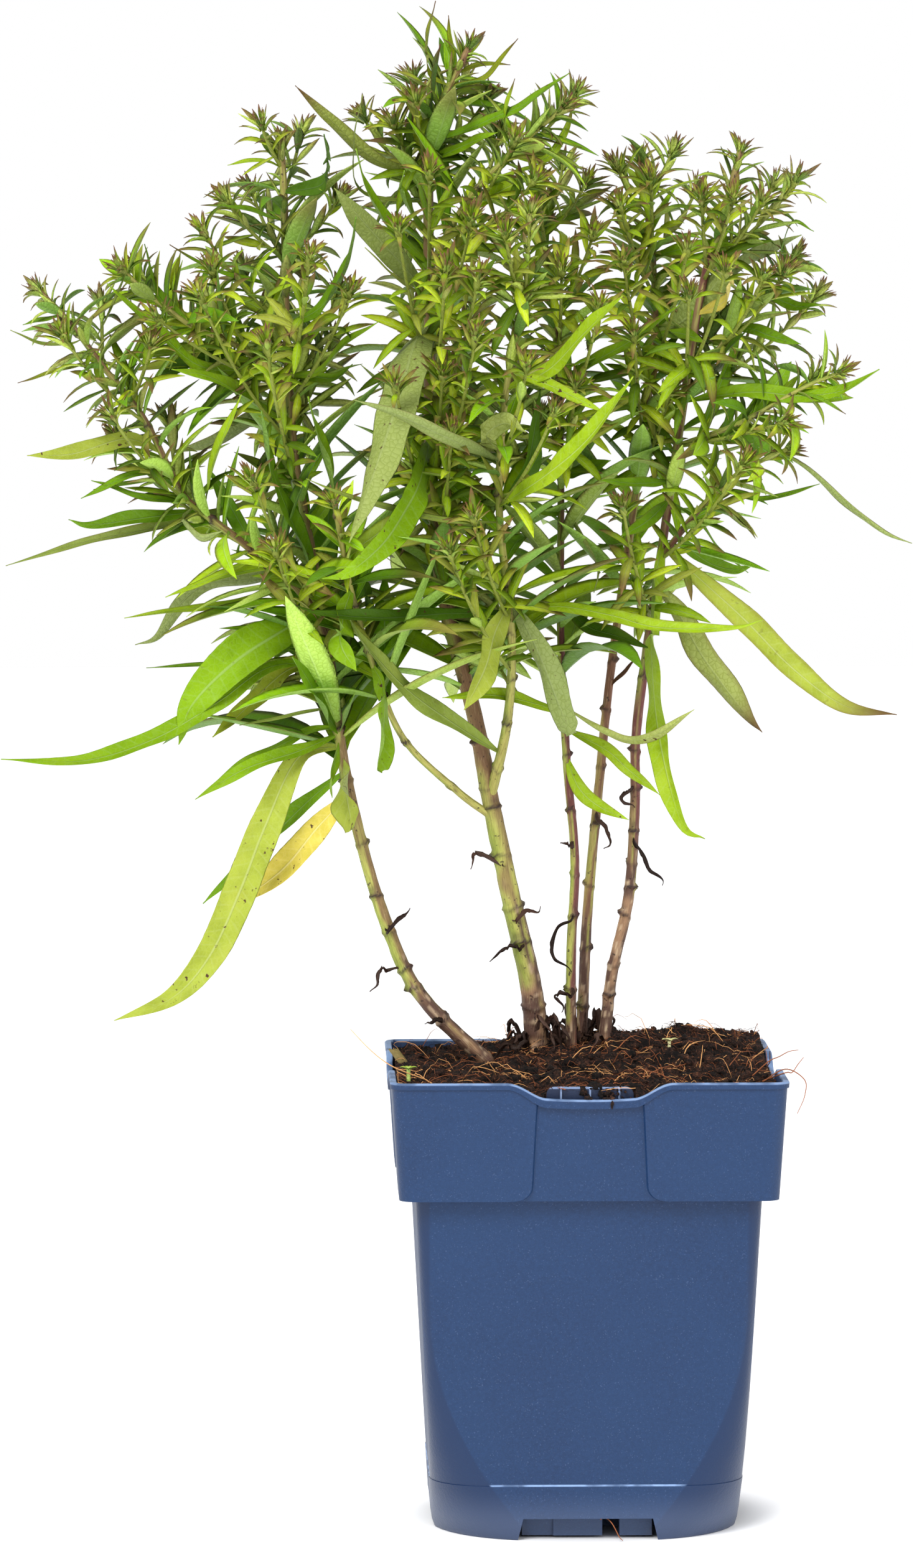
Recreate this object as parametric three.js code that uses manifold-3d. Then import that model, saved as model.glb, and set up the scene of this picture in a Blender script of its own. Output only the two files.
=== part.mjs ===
// A perennial aster in a square plastic nursery pot: the pot, its compost, five leafy stems
// with side shoots and closed bud heads, the stub of an old stem and two seedlings.
// Millimetres, +Z up. The origin is the middle of the pot's foot, and its front faces -Y.

import * as THREE from 'three';
import { mergeVertices } from 'three/addons/utils/BufferGeometryUtils.js';
import Module from 'manifold-3d';

const wasm = await Module();
wasm.setup();

// Driving dimensions of the pot
const POT_HEIGHT = 129;
const RIM = 110;
const COLLAR_FOOT = 104.8;
const COLLAR_BOTTOM = 96;
const BODY_TOP = 96.2;
const BASE = 86;
const WALL = 1.4;
const BEAD_HEIGHT = 1.8;
const BEAD_PROUD = 0.5;
const FLOOR_TOP = 8;
const FLOOR_THICK = 1.6;
const DIP_DEPTH = 4.3;
const DIP_HALF = 23;
const DIP_FLAT_HALF = 12;
const STRIP_HALF_TOP = 14.5;
const STRIP_HALF_FOOT = 16;
const STRIP_CORNER = 4.5;
const PANEL_PROUD = 1;
const NOTCH_WIDTH = 37.5;
const NOTCH_HEIGHT = 6.2;
const PLINTH = 40;
const HOLE_RADIUS = 4.5;
const HOLE_REACH = 25.5;
const CORNER_HOLE = 21;
const POCKET_HALF = 12;
const POCKET_GAP = 3.5;
const POCKET_WALL = 1.2;
const POCKET_FOOT = 104;
const POCKET_TOP = 127.6;
const POCKET_RIB_PITCH = 8;
// Corner radius of the body by height: the flat faces narrow towards the foot
const CORNERS = [[0, 31], [6, 24], [15.7, 16], [25, 11], [40, 6.6], [58, 5], [94, 4]];
const COLLAR_CORNER = 4.5;
const CORNER_POINTS = 4;

// Compost, and the clearance between pieces that stand in each other
const CLEAR = 0.35;
const SOIL_LEVEL = 126.2;
const MOUND_HEIGHT = 5.6;
const MOUND = { x: 6, y: 30, wide: 34, deep: 26 };
const BACK_RISE = 4.5;
const STEM_BURIED = 14;
// An axis that starts below this height stands in the compost
const ROOTED_BELOW = 140;

// Places on the plant are read in the pot's middle plane, y = 0, as seen from this point
const VIEW = new THREE.Vector3(-83, -1958, 357.5);

// Stems and branches, from the soil or their fork to the tip: places seen, with depth y, and
// the radius at both ends. A branch names the stem it springs from.
const AXES = {
  first: { group: 1, radius: [2.3, 1.0], way: [
    [-27, 129, 10], [-38, 139, 9], [-47.8, 150.7, 8], [-54.3, 165.2, 7], [-60.1, 182.7, 6],
    [-66, 207, 6], [-68.7, 224, 6], [-71, 242.5, 7], [-74, 262, 8], [-78, 283, 9],
    [-81.2, 303, 10], [-83, 334, 11], [-83.5, 367, 12], [-84.5, 388, 12]] },
  firstLeft: { group: 1, radius: [1.4, 0.7], way: [
    [-71.5, 247, 7], [-79, 261, 2], [-94, 274, -4], [-106.8, 283.8, -8], [-113, 290, -10],
    [-122.8, 309.7, -12], [-133.7, 323.7, -12], [-143.8, 337, -10], [-152.5, 346, -8]] },
  firstUpper: { group: 1, radius: [0.9, 0.6], way: [
    [-82.5, 318, 10], [-95, 329, 2], [-110, 336, -6], [-122, 345, -12], [-130, 352.5, -16]] },
  second: { group: 2, radius: [3.6, 1.0], way: [
    [-12.7, 134, 22], [-14.7, 150.7, 21], [-20.5, 176.3, 20], [-26, 203, 18], [-30.5, 227, 17],
    [-38.6, 258.8, 18], [-42.3, 290, 20], [-43, 340, 22], [-43, 387, 20], [-38.5, 400, 18],
    [-31.5, 414, 16]] },
  secondRight: { group: 2, radius: [1.6, 0.8], way: [
    [-26, 203, 18], [-21.2, 225, 8], [-20.1, 250, 0], [-23.5, 285, -8], [-21.5, 318, -14],
    [-16, 344, -20]] },
  secondLeft: { group: 2, radius: [1.2, 0.7], way: [
    [-25.5, 198, 18], [-35, 205, 14], [-50, 219.5, 6], [-58, 238, 0], [-65, 262, -10],
    [-69.9, 287, -30]] },
  secondTop: { group: 2, radius: [1.0, 0.6], way: [
    [-43, 352, 21], [-32, 371, 8], [-20, 384, 4], [-12, 391, 2], [-5, 397, 0]] },
  third: { group: 3, radius: [1.6, 0.8], way: [
    [-3.1, 134, 20], [-3.2, 160, 19], [-2.2, 185.7, 18], [-4.5, 214, 18], [-6.2, 250, 20],
    [-6.2, 293.5, 24], [-7.5, 330, 28], [-12, 370, 32]] },
  fourth: { group: 4, radius: [1.7, 0.8], way: [
    [-0.2, 135, 29], [1.3, 170, 29], [4.2, 203, 29], [8, 240, 30], [15, 290, 32],
    [19.8, 330.7, 34], [19.3, 356, 33], [15.8, 383, 30]] },
  fifth: { group: 5, radius: [1.8, 1.0], way: [
    [6.2, 134, 22], [8.3, 153.6, 22], [12.9, 175, 21], [14.7, 200, 20], [15.3, 224, 20],
    [21, 265, 18], [26.2, 300.8, 16], [33, 345, 16], [38, 362, 16], [44, 385, 14]] },
  fifthPurple: { group: 5, radius: [1.0, 0.6], way: [
    [21.5, 270, 18], [33, 284.7, 10], [44.7, 295, 4], [58, 301.5, -2]] },
  fifthUpper: { group: 5, radius: [1.0, 0.6], way: [
    [28.5, 315, 16], [40.7, 333, 20], [52, 348, 24], [59.5, 355.5, 26]] },
  fifthRight: { group: 5, radius: [0.9, 0.5], way: [
    [26.5, 302, 16], [44, 308.5, 6], [61, 318, 0], [72.5, 323, -4]] },
};

// Large leaves by the axis that carries them: height of the root, width, turn of the face
// from upward (0) to the viewer (90), depth of the tip, and the midrib's way as seen.
const LEAVES = {
  first: [
    [217, 11.5, 65, -22, [[-80, 214.5], [-89.4, 195], [-96.2, 177.5], [-104.9, 158.8],
      [-115.6, 146.8], [-131.8, 140.6]]],
    [210, 6.5, 60, 24, [[-76.3, 203], [-88.8, 190.7], [-106.7, 173.6]]],
    [202, 8, 65, 4, [[-74.4, 195], [-84.4, 183], [-98, 173]]],
    [214, 12, 82, -7, [[-66.5, 208], [-65.5, 201], [-64.5, 195]]],
    [219.5, 5, 40, -14, [[-80, 216.3], [-95, 211.3], [-108.8, 203]]],
    [222, 5, 40, 24, [[-78, 221.3], [-93, 213.5], [-107, 204.5]]],
    [240, 5.5, 45, -30, [[-88, 240], [-102, 230.5], [-120, 220], [-140, 213.8],
      [-163.2, 214.4]]],
    [258, 12, 60, -12, [[-79.5, 253.5], [-97, 242], [-109.7, 229.4], [-113.4, 218.4]]],
    [239, 7.5, 55, 16, [[-83, 239], [-97, 226], [-103.9, 220.5]]],
    [228, 1.6, 40, 4, [[-77, 227.5], [-96.4, 223.8]]],
    [246, 2.4, 40, 34, [[-98, 241.5], [-122.4, 240]]],
    [264, 3.5, 35, 20, [[-94, 259], [-111.3, 256.3], [-128.5, 254]]],
    [267, 5, -60, 30, [[-92, 265], [-105.6, 263.5], [-113, 257.7], [-119.4, 248.5],
      [-125.5, 246.5]]],
    [291, 3.8, 45, 16, [[-92.3, 286.6], [-117, 279.7], [-140.2, 275], [-161.6, 268.7]]],
    [261, 8, 75, -26, [[-78, 272], [-83, 284], [-88.3, 299], [-90, 312]]],
    [276, 7, 70, -14, [[-70.5, 288], [-73, 300], [-77, 316]]],
    [221, 8.5, 70, -16, [[-73, 228], [-77, 236], [-81.5, 243]]],
    [220, 4, 60, -10, [[-66, 227], [-64, 233]]],
    [219, 3.5, 80, -10, [[-70.5, 211], [-70.4, 203.4]]],
    [307, 5.5, 50, -30, [[-92, 314], [-104, 321], [-115, 323.6]]],
    [312, 4.5, -50, 34, [[-92, 310], [-102, 304], [-115, 300]]],
    [318, 3.5, 60, -20, [[-74, 323], [-66, 331], [-57, 337]]],
    [320.5, 4, 50, -2, [[-76, 321.5], [-69, 321], [-64.5, 325]]],
    [346, 3, 55, 30, [[-86, 349], [-91, 354]]],
    [335, 5.5, 65, -24, [[-73, 341], [-66, 352], [-63.5, 366]]],
    [372, 5, 80, -12, [[-73, 375], [-71.5, 382], [-72.4, 389]]],
    [379.5, 1.7, 45, 4, [[-90, 381.8], [-99.3, 380.4]]],
    [364, 2.4, 45, -6, [[-92, 367.5], [-102, 369.5]]],
    [343, 2.4, 45, -24, [[-90, 347.5], [-106, 352.5], [-115.5, 358.3]]],
  ],
  firstLeft: [
    [271, 2.5, 40, -16, [[-99.8, 266.7], [-117, 259.8]]],
    [275, 2, 40, 10, [[-98, 269.5], [-104, 265]]],
    [284, 5, 50, 0, [[-120, 282.3], [-137.3, 280], [-144, 281.6]]],
    [299, 5.5, 55, -22, [[-128, 304], [-143, 299.8], [-155.5, 299.5]]],
    [296, 2.5, 45, -30, [[-127.5, 293.5], [-140.5, 287.5]]],
    [293, 2, 45, 6, [[-126, 292], [-137, 290]]],
    [286, 3, 45, -26, [[-122.9, 287.8], [-137.6, 292.5]]],
    [283.5, 4.5, 75, -24, [[-104.4, 293.6], [-100.4, 305], [-95.6, 316.5]]],
    [285.5, 3, -60, -22, [[-112, 281], [-107, 276.5], [-101, 278.3]]],
    [329, 1.3, 60, -22, [[-132, 340], [-127, 352], [-124.6, 358.5]]],
    [332, 1.4, 45, -20, [[-144, 330.5], [-152, 331], [-160, 334.5]]],
    [326, 1.9, 45, 2, [[-142, 324.5], [-158, 319.8]]],
    [338, 2, 45, -2, [[-148, 338], [-156.5, 336]]],
  ],
  firstUpper: [
    [335, 3.5, 75, -16, [[-118, 343], [-120.5, 350], [-122.5, 358.5]]],
    [336, 3, 75, 2, [[-115, 345], [-112.5, 356.3]]],
    [323, 4.5, 65, -24, [[-106, 324], [-118, 333], [-133, 347.5]]],
    [328, 5, 60, 10, [[-104, 327], [-113, 324], [-122, 319.5]]],
    [331, 3, 80, 12, [[-103, 343], [-102.3, 357]]],
  ],
  second: [
    [335, 12, 175, -50, [[-47, 331], [-51, 317], [-58, 296], [-65.5, 275]]],
    [302, 9, 70, -46, [[-46, 292], [-50, 284], [-56.5, 274.4], [-66, 266.5], [-73, 265]]],
    [343, 7, -60, -24, [[-50, 352], [-60, 363], [-69.5, 374]]],
    [342, 2, 60, -34, [[-50, 347], [-61, 357.5]]],
    [352, 5.5, 70, -8, [[-55, 364], [-60.5, 374], [-63.5, 385]]],
    [360, 5, 70, 0, [[-48, 367], [-51, 373], [-50, 379]]],
    [368, 1.4, 70, -18, [[-62, 373], [-64, 387], [-61.6, 400]]],
    [376, 4, -50, -4, [[-58, 382], [-70, 392.5], [-80.4, 402.5]]],
    [374, 2.6, 60, 34, [[-50, 379], [-63, 387]]],
    [402, 2.6, 70, 8, [[-43, 406], [-43.5, 415], [-41.3, 426]]],
    [405, 2.3, 70, 24, [[-36.5, 411], [-37.7, 422]]],
    [391, 5.5, 75, 2, [[-42.5, 396], [-41.5, 404], [-40, 414]]],
    [402, 2.2, 60, 10, [[-29, 404], [-24, 408.5], [-18.3, 415.6]]],
    [406, 1.8, 50, 26, [[-28, 408.5], [-20.5, 408.3]]],
    [386, 4, 55, -14, [[-34, 389.5], [-24, 394], [-16, 397.5], [-4, 406]]],
    [380, 4, 60, 2, [[-34, 385.5], [-24, 389.5]]],
    [398, 1.6, 45, 12, [[-44, 399.5], [-49, 397.8]]],
    [388, 3.5, -60, 14, [[-46.5, 389.7], [-49, 391], [-47.5, 395]]],
  ],
  secondRight: [
    [280, 2.6, 50, -38, [[-36, 281], [-53.6, 284.5], [-65, 287.5], [-77.5, 293]]],
    [260.5, 2, 45, -18, [[-34.5, 262], [-49.5, 267.4], [-56, 271.5]]],
    [255, 5, 45, -22, [[-39, 255], [-56.5, 253.8], [-74, 255.3], [-81.5, 258]]],
    [252, 4.5, 50, -14, [[-9, 257], [7, 254.7], [21.4, 251], [41.8, 251], [50.5, 253.2]]],
    [259, 8, -75, -8, [[-13.7, 247], [-6.7, 229.8], [-3.3, 221]]],
    [257, 8.5, 70, -24, [[-24.7, 250], [-27.5, 240], [-33.3, 228]]],
    [214, 7, 60, -16, [[-34.5, 222.8], [-49.5, 233.8], [-61.7, 247], [-65.8, 254.7]]],
    [285, 7.5, 65, -50, [[-10, 294], [2.5, 305], [14, 321.5]]],
    [283, 6, 80, 4, [[-17, 292], [-14, 305], [-12, 318]]],
    [318, 6.5, 65, -42, [[-10, 323], [0, 333], [11, 344]]],
    [323, 3.5, 55, -38, [[-12, 320], [-2, 315.5], [6, 311.3]]],
    [300, 6, -60, -24, [[-27, 305], [-22, 308.5], [-16, 306]]],
    [298, 4.5, -45, -50, [[-36, 303.5], [-50, 310], [-64, 315]]],
  ],
  secondLeft: [
    [259, 6.5, 80, 6, [[-61.5, 262], [-60.6, 254], [-60.6, 246]]],
    [262, 8, 75, -22, [[-67.5, 254], [-67.5, 246], [-63.5, 239]]],
    [240, 8.5, 80, -16, [[-55.8, 234], [-56.3, 222], [-57.5, 211]]],
  ],
  secondTop: [
    [383, 2, 80, 0, [[-22, 388], [-21.5, 396], [-19.2, 404.5]]],
    [383, 2.4, 75, 8, [[-11, 382], [-5.5, 389], [-2.8, 397.5]]],
    [376, 2, 45, -6, [[-18, 378.5], [-8, 381.5]]],
    [390, 1.8, 45, 6, [[-8, 387.5], [-0.5, 385.3]]],
  ],
  third: [
    [256, 4.5, 50, 10, [[1.3, 251.5], [9.8, 248.6], [19, 245.2]]],
    [222, 4.5, 50, -2, [[-8, 228], [-24.7, 232], [-39.4, 231.5]]],
    [226, 3.5, -50, -18, [[7, 221], [18.5, 220], [31.3, 228]]],
    [221, 4, 50, 2, [[6.8, 216.5], [13, 211], [21.7, 204]]],
    [212, 4.3, 55, 4, [[-1, 206], [5, 200.5], [13, 197]]],
    [292, 5, 60, 10, [[0, 295], [7.7, 298]]],
    [281, 4, 60, 12, [[-10, 283.5], [-15, 286]]],
    [284, 3, -60, 2, [[-1, 277], [4.3, 268], [3.1, 261]]],
    [271, 2.5, 50, 8, [[-10, 271.5], [-16, 271]]],
    [318, 4.5, 60, -2, [[4, 326], [16, 333], [27, 341.5]]],
  ],
  fourth: [
    [331, 10, -75, 6, [[28, 337], [36, 346], [41, 353]]],
    [354, 4.5, 60, 6, [[30, 357.5], [42.5, 358.3]]],
    [348, 4, 60, 12, [[28, 352], [36, 357]]],
    [331.5, 4, 50, 4, [[27, 333.5], [34, 331]]],
    [232, 1.6, 60, 26, [[12, 239], [15, 242.5]]],
  ],
  fifth: [
    [274, 9.3, 80, -10, [[19.7, 262], [19.7, 241], [22, 219], [28, 196], [34.5, 191.6]]],
    [262, 9.5, -75, 12, [[27, 255], [34.2, 242.4], [45.8, 226.8], [50.5, 221.6]]],
    [271, 9, 60, -6, [[34.2, 263.5], [45.8, 252.9], [59, 239.5], [73.6, 229], [88.4, 226.5]]],
    [286, 2, 50, 28, [[33, 280], [38.8, 272.6], [46.4, 266.5]]],
    [278, 5, 60, 32, [[34, 270], [41.8, 267.3], [47.8, 268.5]]],
    [290, 3.5, 55, -10, [[15, 291.5], [4.6, 292.5]]],
    [285, 4, 55, -2, [[18, 281], [10.4, 276.6]]],
    [312, 5.5, 50, -12, [[35, 315.5], [48, 317], [60.7, 316], [73, 317.5], [83, 323.5]]],
    [320, 4.5, -50, 36, [[38, 324], [51, 331.5]]],
    [344, 5.5, -60, 34, [[42, 350], [50, 356], [61, 361]]],
    [338, 4, 75, -2, [[40, 343], [41.5, 352]]],
  ],
  fifthPurple: [
    [300, 3, -50, -16, [[62, 296], [73.6, 286], [84, 277.8], [92.4, 274.7]]],
    [290, 2, 45, 12, [[50.5, 287], [66.4, 291.4]]],
    [291, 2.5, -60, -8, [[39, 285], [43.5, 280.7], [47, 278.5]]],
  ],
  fifthUpper: [
    [333, 4, 50, 4, [[46, 335], [53, 332.5], [61, 330.5]]],
    [343, 3.5, 50, 10, [[53, 343.5], [60, 341], [66.5, 341.5]]],
    [324, 3, 60, 2, [[38, 326.5], [46, 334.5]]],
    [350, 2, 50, 16, [[58, 364], [64.5, 362]]],
  ],
  fifthRight: [
    [317, 1.3, 50, -10, [[66, 315.5], [73.6, 311]]],
    [310, 1.4, 60, 14, [[49.5, 318], [45, 326]]],
  ],
};

// Side shoots by the axis that carries them: the tip as seen, x and z, and its depth y
const SHOOTS = {
  first: [
    [-106.7, 363, -10], [-100, 371, 6], [-92.7, 373.6, 26], [-90, 392, 6], [-78.7, 390, 26],
    [-107.5, 345, -34], [-95, 352, 36], [-76.5, 355.7, -36], [-88.7, 331, -44],
    [-92.9, 293.5, -34], [-86.5, 274, -34], [-68, 372, 8], [-64.8, 346, -20],
    [-70, 332, 34]],
  firstLeft: [
    [-132.4, 311.4, -26], [-131, 305, 0], [-146, 334, -24], [-134.5, 342.5, 2],
    [-120.6, 331, -24], [-116, 310, 6]],
  firstUpper: [[-120, 338.5, -26], [-125.5, 352, 2], [-104, 352, -18]],
  second: [
    [-62.3, 395, 24], [-53.3, 392.6, 6], [-47.5, 405, 24], [-47, 399, 2], [-52.8, 320, -30],
    [-39.3, 323, -22], [-36.7, 306.8, -26], [-52, 363.5, -26], [-43, 379, -16],
    [-33, 404, 36], [-38.5, 352, -36], [-29, 350, -34], [-29.8, 334, -38], [-26.4, 400, 26],
    [-50, 384, 40], [-31, 366, -24]],
  secondRight: [
    [-38, 273.8, -34], [-31, 283, -34], [-15.5, 325.5, -42], [-14.8, 367.8, -28],
    [-22, 362, -38], [-8, 312, -34]],
  secondTop: [[-1.6, 401, 8], [-18.8, 388, -12], [-23.4, 390, 12], [-13, 377, -12]],
  third: [
    [-12.7, 377, 8], [1, 376, 24], [-5.6, 381, 44], [4.8, 342, -16], [-6, 352, -6],
    [3, 362, 4], [-2, 320, -6]],
  fourth: [
    [9, 380.7, 24], [10, 370, 8], [25, 384.7, 36], [14.2, 334, -2], [19, 377, 12],
    [29.3, 358, -6], [24.4, 317.8, 6], [11, 355, -10], [31.8, 374, 40]],
  fifth: [
    [50.4, 371, 4], [42, 372, -6], [54, 376, 26], [60, 377, 12], [33, 372, -2],
    [11, 286, -22], [29.5, 345, -16], [40, 352, -18]],
  fifthPurple: [[45, 298, -14]],
  fifthUpper: [[56.5, 351, 8], [50.8, 350, 2], [66, 345, 40]],
  fifthRight: [[66, 322, 6], [57, 309, -12]],
};
// A shoot nearer the viewer than this has a like one behind its stem
const TWIN_DEPTH = -16;
const SHOOT_RADIUS = 0.75;
const LEAVES_ROUND = 3;
const WHORL_HEIGHT = 1.3;
const WHORL_TWIST = 0.7;
const LONG_SHOOT = 58;
const HEAD_RADIUS = 1.4;
const BRACT_LENGTH = 6.5;
const BRACT_FLARE = 2.9;
const NARROW = 4;
const TOUCH = 0.02;
const BENDS = [0, 4, -4, 8, -8, 12, -12, 16, -16, 21, -21, 26, -26, 32, -32];
const TURNS = [0, 0.5, -0.5, 1, -1, 1.5];

// Withered leaves that still hang on the bare lower stems: the way as seen
const WITHERED = {
  first: [
    [[-55, 155], [-57.5, 154.5], [-60, 148.5]],
    [[-54.5, 165.5], [-51.5, 169], [-48.8, 172.5]],
    [[-39.5, 140.5], [-44.5, 140]]],
  second: [
    [[-22.5, 184], [-27.5, 187], [-31, 187.5], [-31.5, 183]],
    [[-18.5, 168.5], [-15, 172.5], [-13, 174.2]],
    [[-17.5, 161], [-22, 161], [-26.2, 157]]],
  third: [
    [[-3, 168.5], [-7, 166], [-8.2, 158], [-5, 152.5]],
    [[-3.2, 147.5], [-8, 147.5], [-8.5, 142.5]],
    [[-3, 190], [-6.3, 190.2]]],
  fourth: [[[4, 197], [6.4, 194], [5, 189]]],
  fifth: [
    [[15, 190.5], [18, 186], [20.3, 177.5]],
    [[13.5, 205], [11.2, 203], [12.5, 199.5]]],
};

// The stub of an old stem, the seedlings and their seed leaves
const STUB = { x: -49.8, y: 13, radius: 1.5, bore: 0.8, top: 131, lean: 0.75 };
const SEEDLINGS = [
  { name: 'seedling_left', x: -49.5, y: -29.6, leaves: 4, size: 2.6 },
  { name: 'seedling_right', x: 25.2, y: 13.1, leaves: 5, size: 2.4 },
];

const UP = new THREE.Vector3(0, 0, 1);

// Plain numbers

function smooth(value) {
  const t = Math.min(Math.max(value, 0), 1);
  return t * t * (3 - 2 * t);
}

// A steady draw between 0 and 1 for each seed
function draw(seed) {
  const wave = Math.sin(seed * 12.9898) * 43758.5453;
  return wave - Math.floor(wave);
}

function lookup(table, at) {
  const next = table.findIndex(([key]) => key >= at);
  if (next < 0) return table[table.length - 1][1];
  if (next === 0) return table[0][1];
  const [[a, from], [b, to]] = [table[next - 1], table[next]];
  return from + (to - from) * (at - a) / (b - a);
}

// A place seen at (x, z) in the middle plane, carried along its line of sight to depth y
function seen(x, z, y) {
  const scale = 1 - y / VIEW.y;
  return new THREE.Vector3(
    VIEW.x + (x - VIEW.x) * scale, y, VIEW.z + (z - VIEW.z) * scale);
}

// Solids

function solidOf(points, triangles) {
  let volume = 0;
  for (let i = 0; i < triangles.length; i += 3) {
    const [a, b, c] = [0, 1, 2].map((k) => points[triangles[i + k]]);
    volume += a.dot(new THREE.Vector3().crossVectors(b, c));
  }
  const order = volume > 0 ? triangles : [...triangles].reverse();
  return new wasm.Manifold(new wasm.Mesh({
    numProp: 3,
    vertProperties: new Float32Array(points.flatMap((p) => p.toArray())),
    triVerts: new Uint32Array(order),
  }));
}

function solidFrom(geometry) {
  const bare = geometry.clone();
  bare.deleteAttribute('normal');
  bare.deleteAttribute('uv');
  const merged = mergeVertices(bare, 1e-4);
  const position = merged.getAttribute('position');
  const points = [];
  for (let i = 0; i < position.count; i += 1) {
    points.push(new THREE.Vector3().fromBufferAttribute(position, i));
  }
  return solidOf(points, Array.from(merged.index.array));
}

function geometryOf(solid) {
  const mesh = solid.getMesh();
  const geometry = new THREE.BufferGeometry();
  const { numProp, vertProperties } = mesh;
  const positions = new Float32Array(vertProperties.length / numProp * 3);
  for (let i = 0; i * numProp < vertProperties.length; i += 1) {
    positions.set(vertProperties.subarray(i * numProp, i * numProp + 3), i * 3);
  }
  geometry.setAttribute('position', new THREE.BufferAttribute(positions, 3));
  geometry.setIndex(Array.from(mesh.triVerts));
  geometry.computeVertexNormals();
  return geometry;
}

// Joins rings of points with equal counts into a closed solid; a ring of one point is a tip.
// The diagonals turn about in neighbouring columns, so both faces of a blade split alike.
// A crown of bracts stands on the last ring: a spike on each side about a sunk middle.
function loft(rings, crown = null) {
  const points = crown ? [...rings.flat(), crown.middle, ...crown.tips] : rings.flat();
  const starts = [];
  rings.reduce((sum, ring) => {
    starts.push(sum);
    return sum + ring.length;
  }, 0);
  const triangles = [];
  for (let i = 0; i + 1 < rings.length; i += 1) {
    const [a, b] = [starts[i], starts[i + 1]];
    const [n, m] = [rings[i].length, rings[i + 1].length];
    for (let k = 0; k < Math.max(n, m); k += 1) {
      const j = (k + 1) % Math.max(n, m);
      if (m === 1) triangles.push(a + k, a + j, b);
      else if (n === 1) triangles.push(a, b + j, b + k);
      else if (k % 2 === 0) triangles.push(a + k, a + j, b + j, a + k, b + j, b + k);
      else triangles.push(a + k, a + j, b + k, a + j, b + j, b + k);
    }
  }
  const last = rings.length - 1;
  for (let k = 1; k + 1 < rings[0].length; k += 1) triangles.push(0, k + 1, k);
  const sides = rings[last].length;
  for (let k = 1; k + 1 < sides && !crown; k += 1) {
    triangles.push(starts[last], starts[last] + k, starts[last] + k + 1);
  }
  for (let k = 0; k < sides && crown; k += 1) {
    const [a, b] = [starts[last] + k, starts[last] + (k + 1) % sides];
    const middle = starts[last] + sides;
    const tip = middle + 1 + k;
    triangles.push(a, b, tip, b, middle, tip, middle, a, tip);
  }
  return solidOf(points, triangles);
}

// Keeps the main body of a fused solid: loose scraps go and sealed hollows are filled
function mainBody(solid) {
  const bodies = solid.decompose();
  return bodies.reduce((a, b) => (b.volume() > a.volume() ? b : a));
}

function fuse(solids) {
  return mainBody(wasm.Manifold.union(solids).simplify(0.1));
}

function meshOf(name, solid, color, roughness) {
  const material = new THREE.MeshStandardMaterial({ color, roughness, metalness: 0 });
  const mesh = new THREE.Mesh(geometryOf(solid), material);
  mesh.name = name;
  return mesh;
}

// Pot

function bodyHalf(z) {
  return (BASE + (BODY_TOP - BASE) * Math.min(z, COLLAR_BOTTOM) / COLLAR_BOTTOM) / 2;
}

function collarHalf(z) {
  const share = (z - COLLAR_BOTTOM) / (POT_HEIGHT - COLLAR_BOTTOM);
  return (COLLAR_FOOT + (RIM - 2 * BEAD_PROUD - COLLAR_FOOT) * share) / 2;
}

function roundedSquare(half, radius, z) {
  const ring = [];
  for (let corner = 0; corner < 4; corner += 1) {
    for (let k = 0; k < CORNER_POINTS; k += 1) {
      const angle = (corner + k / (CORNER_POINTS - 1)) * Math.PI / 2;
      const middle = new THREE.Vector3(half - radius, half - radius, z)
        .applyAxisAngle(UP, corner * Math.PI / 2);
      ring.push(middle.add(
        new THREE.Vector3(radius * Math.cos(angle), radius * Math.sin(angle), 0)));
    }
  }
  return ring;
}

// The pot's outline moved inward, as a list of rings from one height to another
function potRings(inset, from, to) {
  const heights = CORNERS.map(([z]) => z).filter((z) => z > from && z < to);
  const rings = [from, ...heights].map((z) => roundedSquare(
    bodyHalf(z) - inset, Math.max(lookup(CORNERS, z) - inset, 1), z));
  const ledge = COLLAR_BOTTOM + inset;
  rings.push(roundedSquare(BODY_TOP / 2 - inset, CORNERS.at(-1)[1] - inset, ledge));
  rings.push(roundedSquare(collarHalf(ledge) - inset, COLLAR_CORNER - inset, ledge));
  rings.push(roundedSquare(collarHalf(to) - inset, COLLAR_CORNER - inset, to));
  return rings;
}

function outerRings() {
  const bead = POT_HEIGHT - BEAD_HEIGHT;
  const rings = potRings(0, 0, bead);
  rings.push(roundedSquare(RIM / 2, COLLAR_CORNER, bead));
  rings.push(roundedSquare(RIM / 2, COLLAR_CORNER, POT_HEIGHT));
  return rings;
}

// A plate whose outline is drawn in x and z, between two depths, leaning by a slope
function plate(outline, near, far, slope = 0, slopeFrom = 0) {
  const shape = new THREE.Shape(outline.map(([x, z]) => new THREE.Vector2(x, z)));
  const geometry = new THREE.ExtrudeGeometry(shape, { depth: far - near, bevelEnabled: false });
  geometry.rotateX(Math.PI / 2).translate(0, far, 0);
  const position = geometry.getAttribute('position');
  for (let i = 0; i < position.count; i += 1) {
    const lean = slope * (position.getZ(i) - slopeFrom);
    position.setY(i, position.getY(i) - lean);
  }
  return geometry;
}

function onFourSides(geometry) {
  return [0, 1, 2, 3].map((side) => solidFrom(geometry.clone().rotateZ(side * Math.PI / 2)));
}

function block(width, deep, high, x, y, z) {
  return new THREE.BoxGeometry(width, deep, high).translate(x, y, z + high / 2);
}

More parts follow.
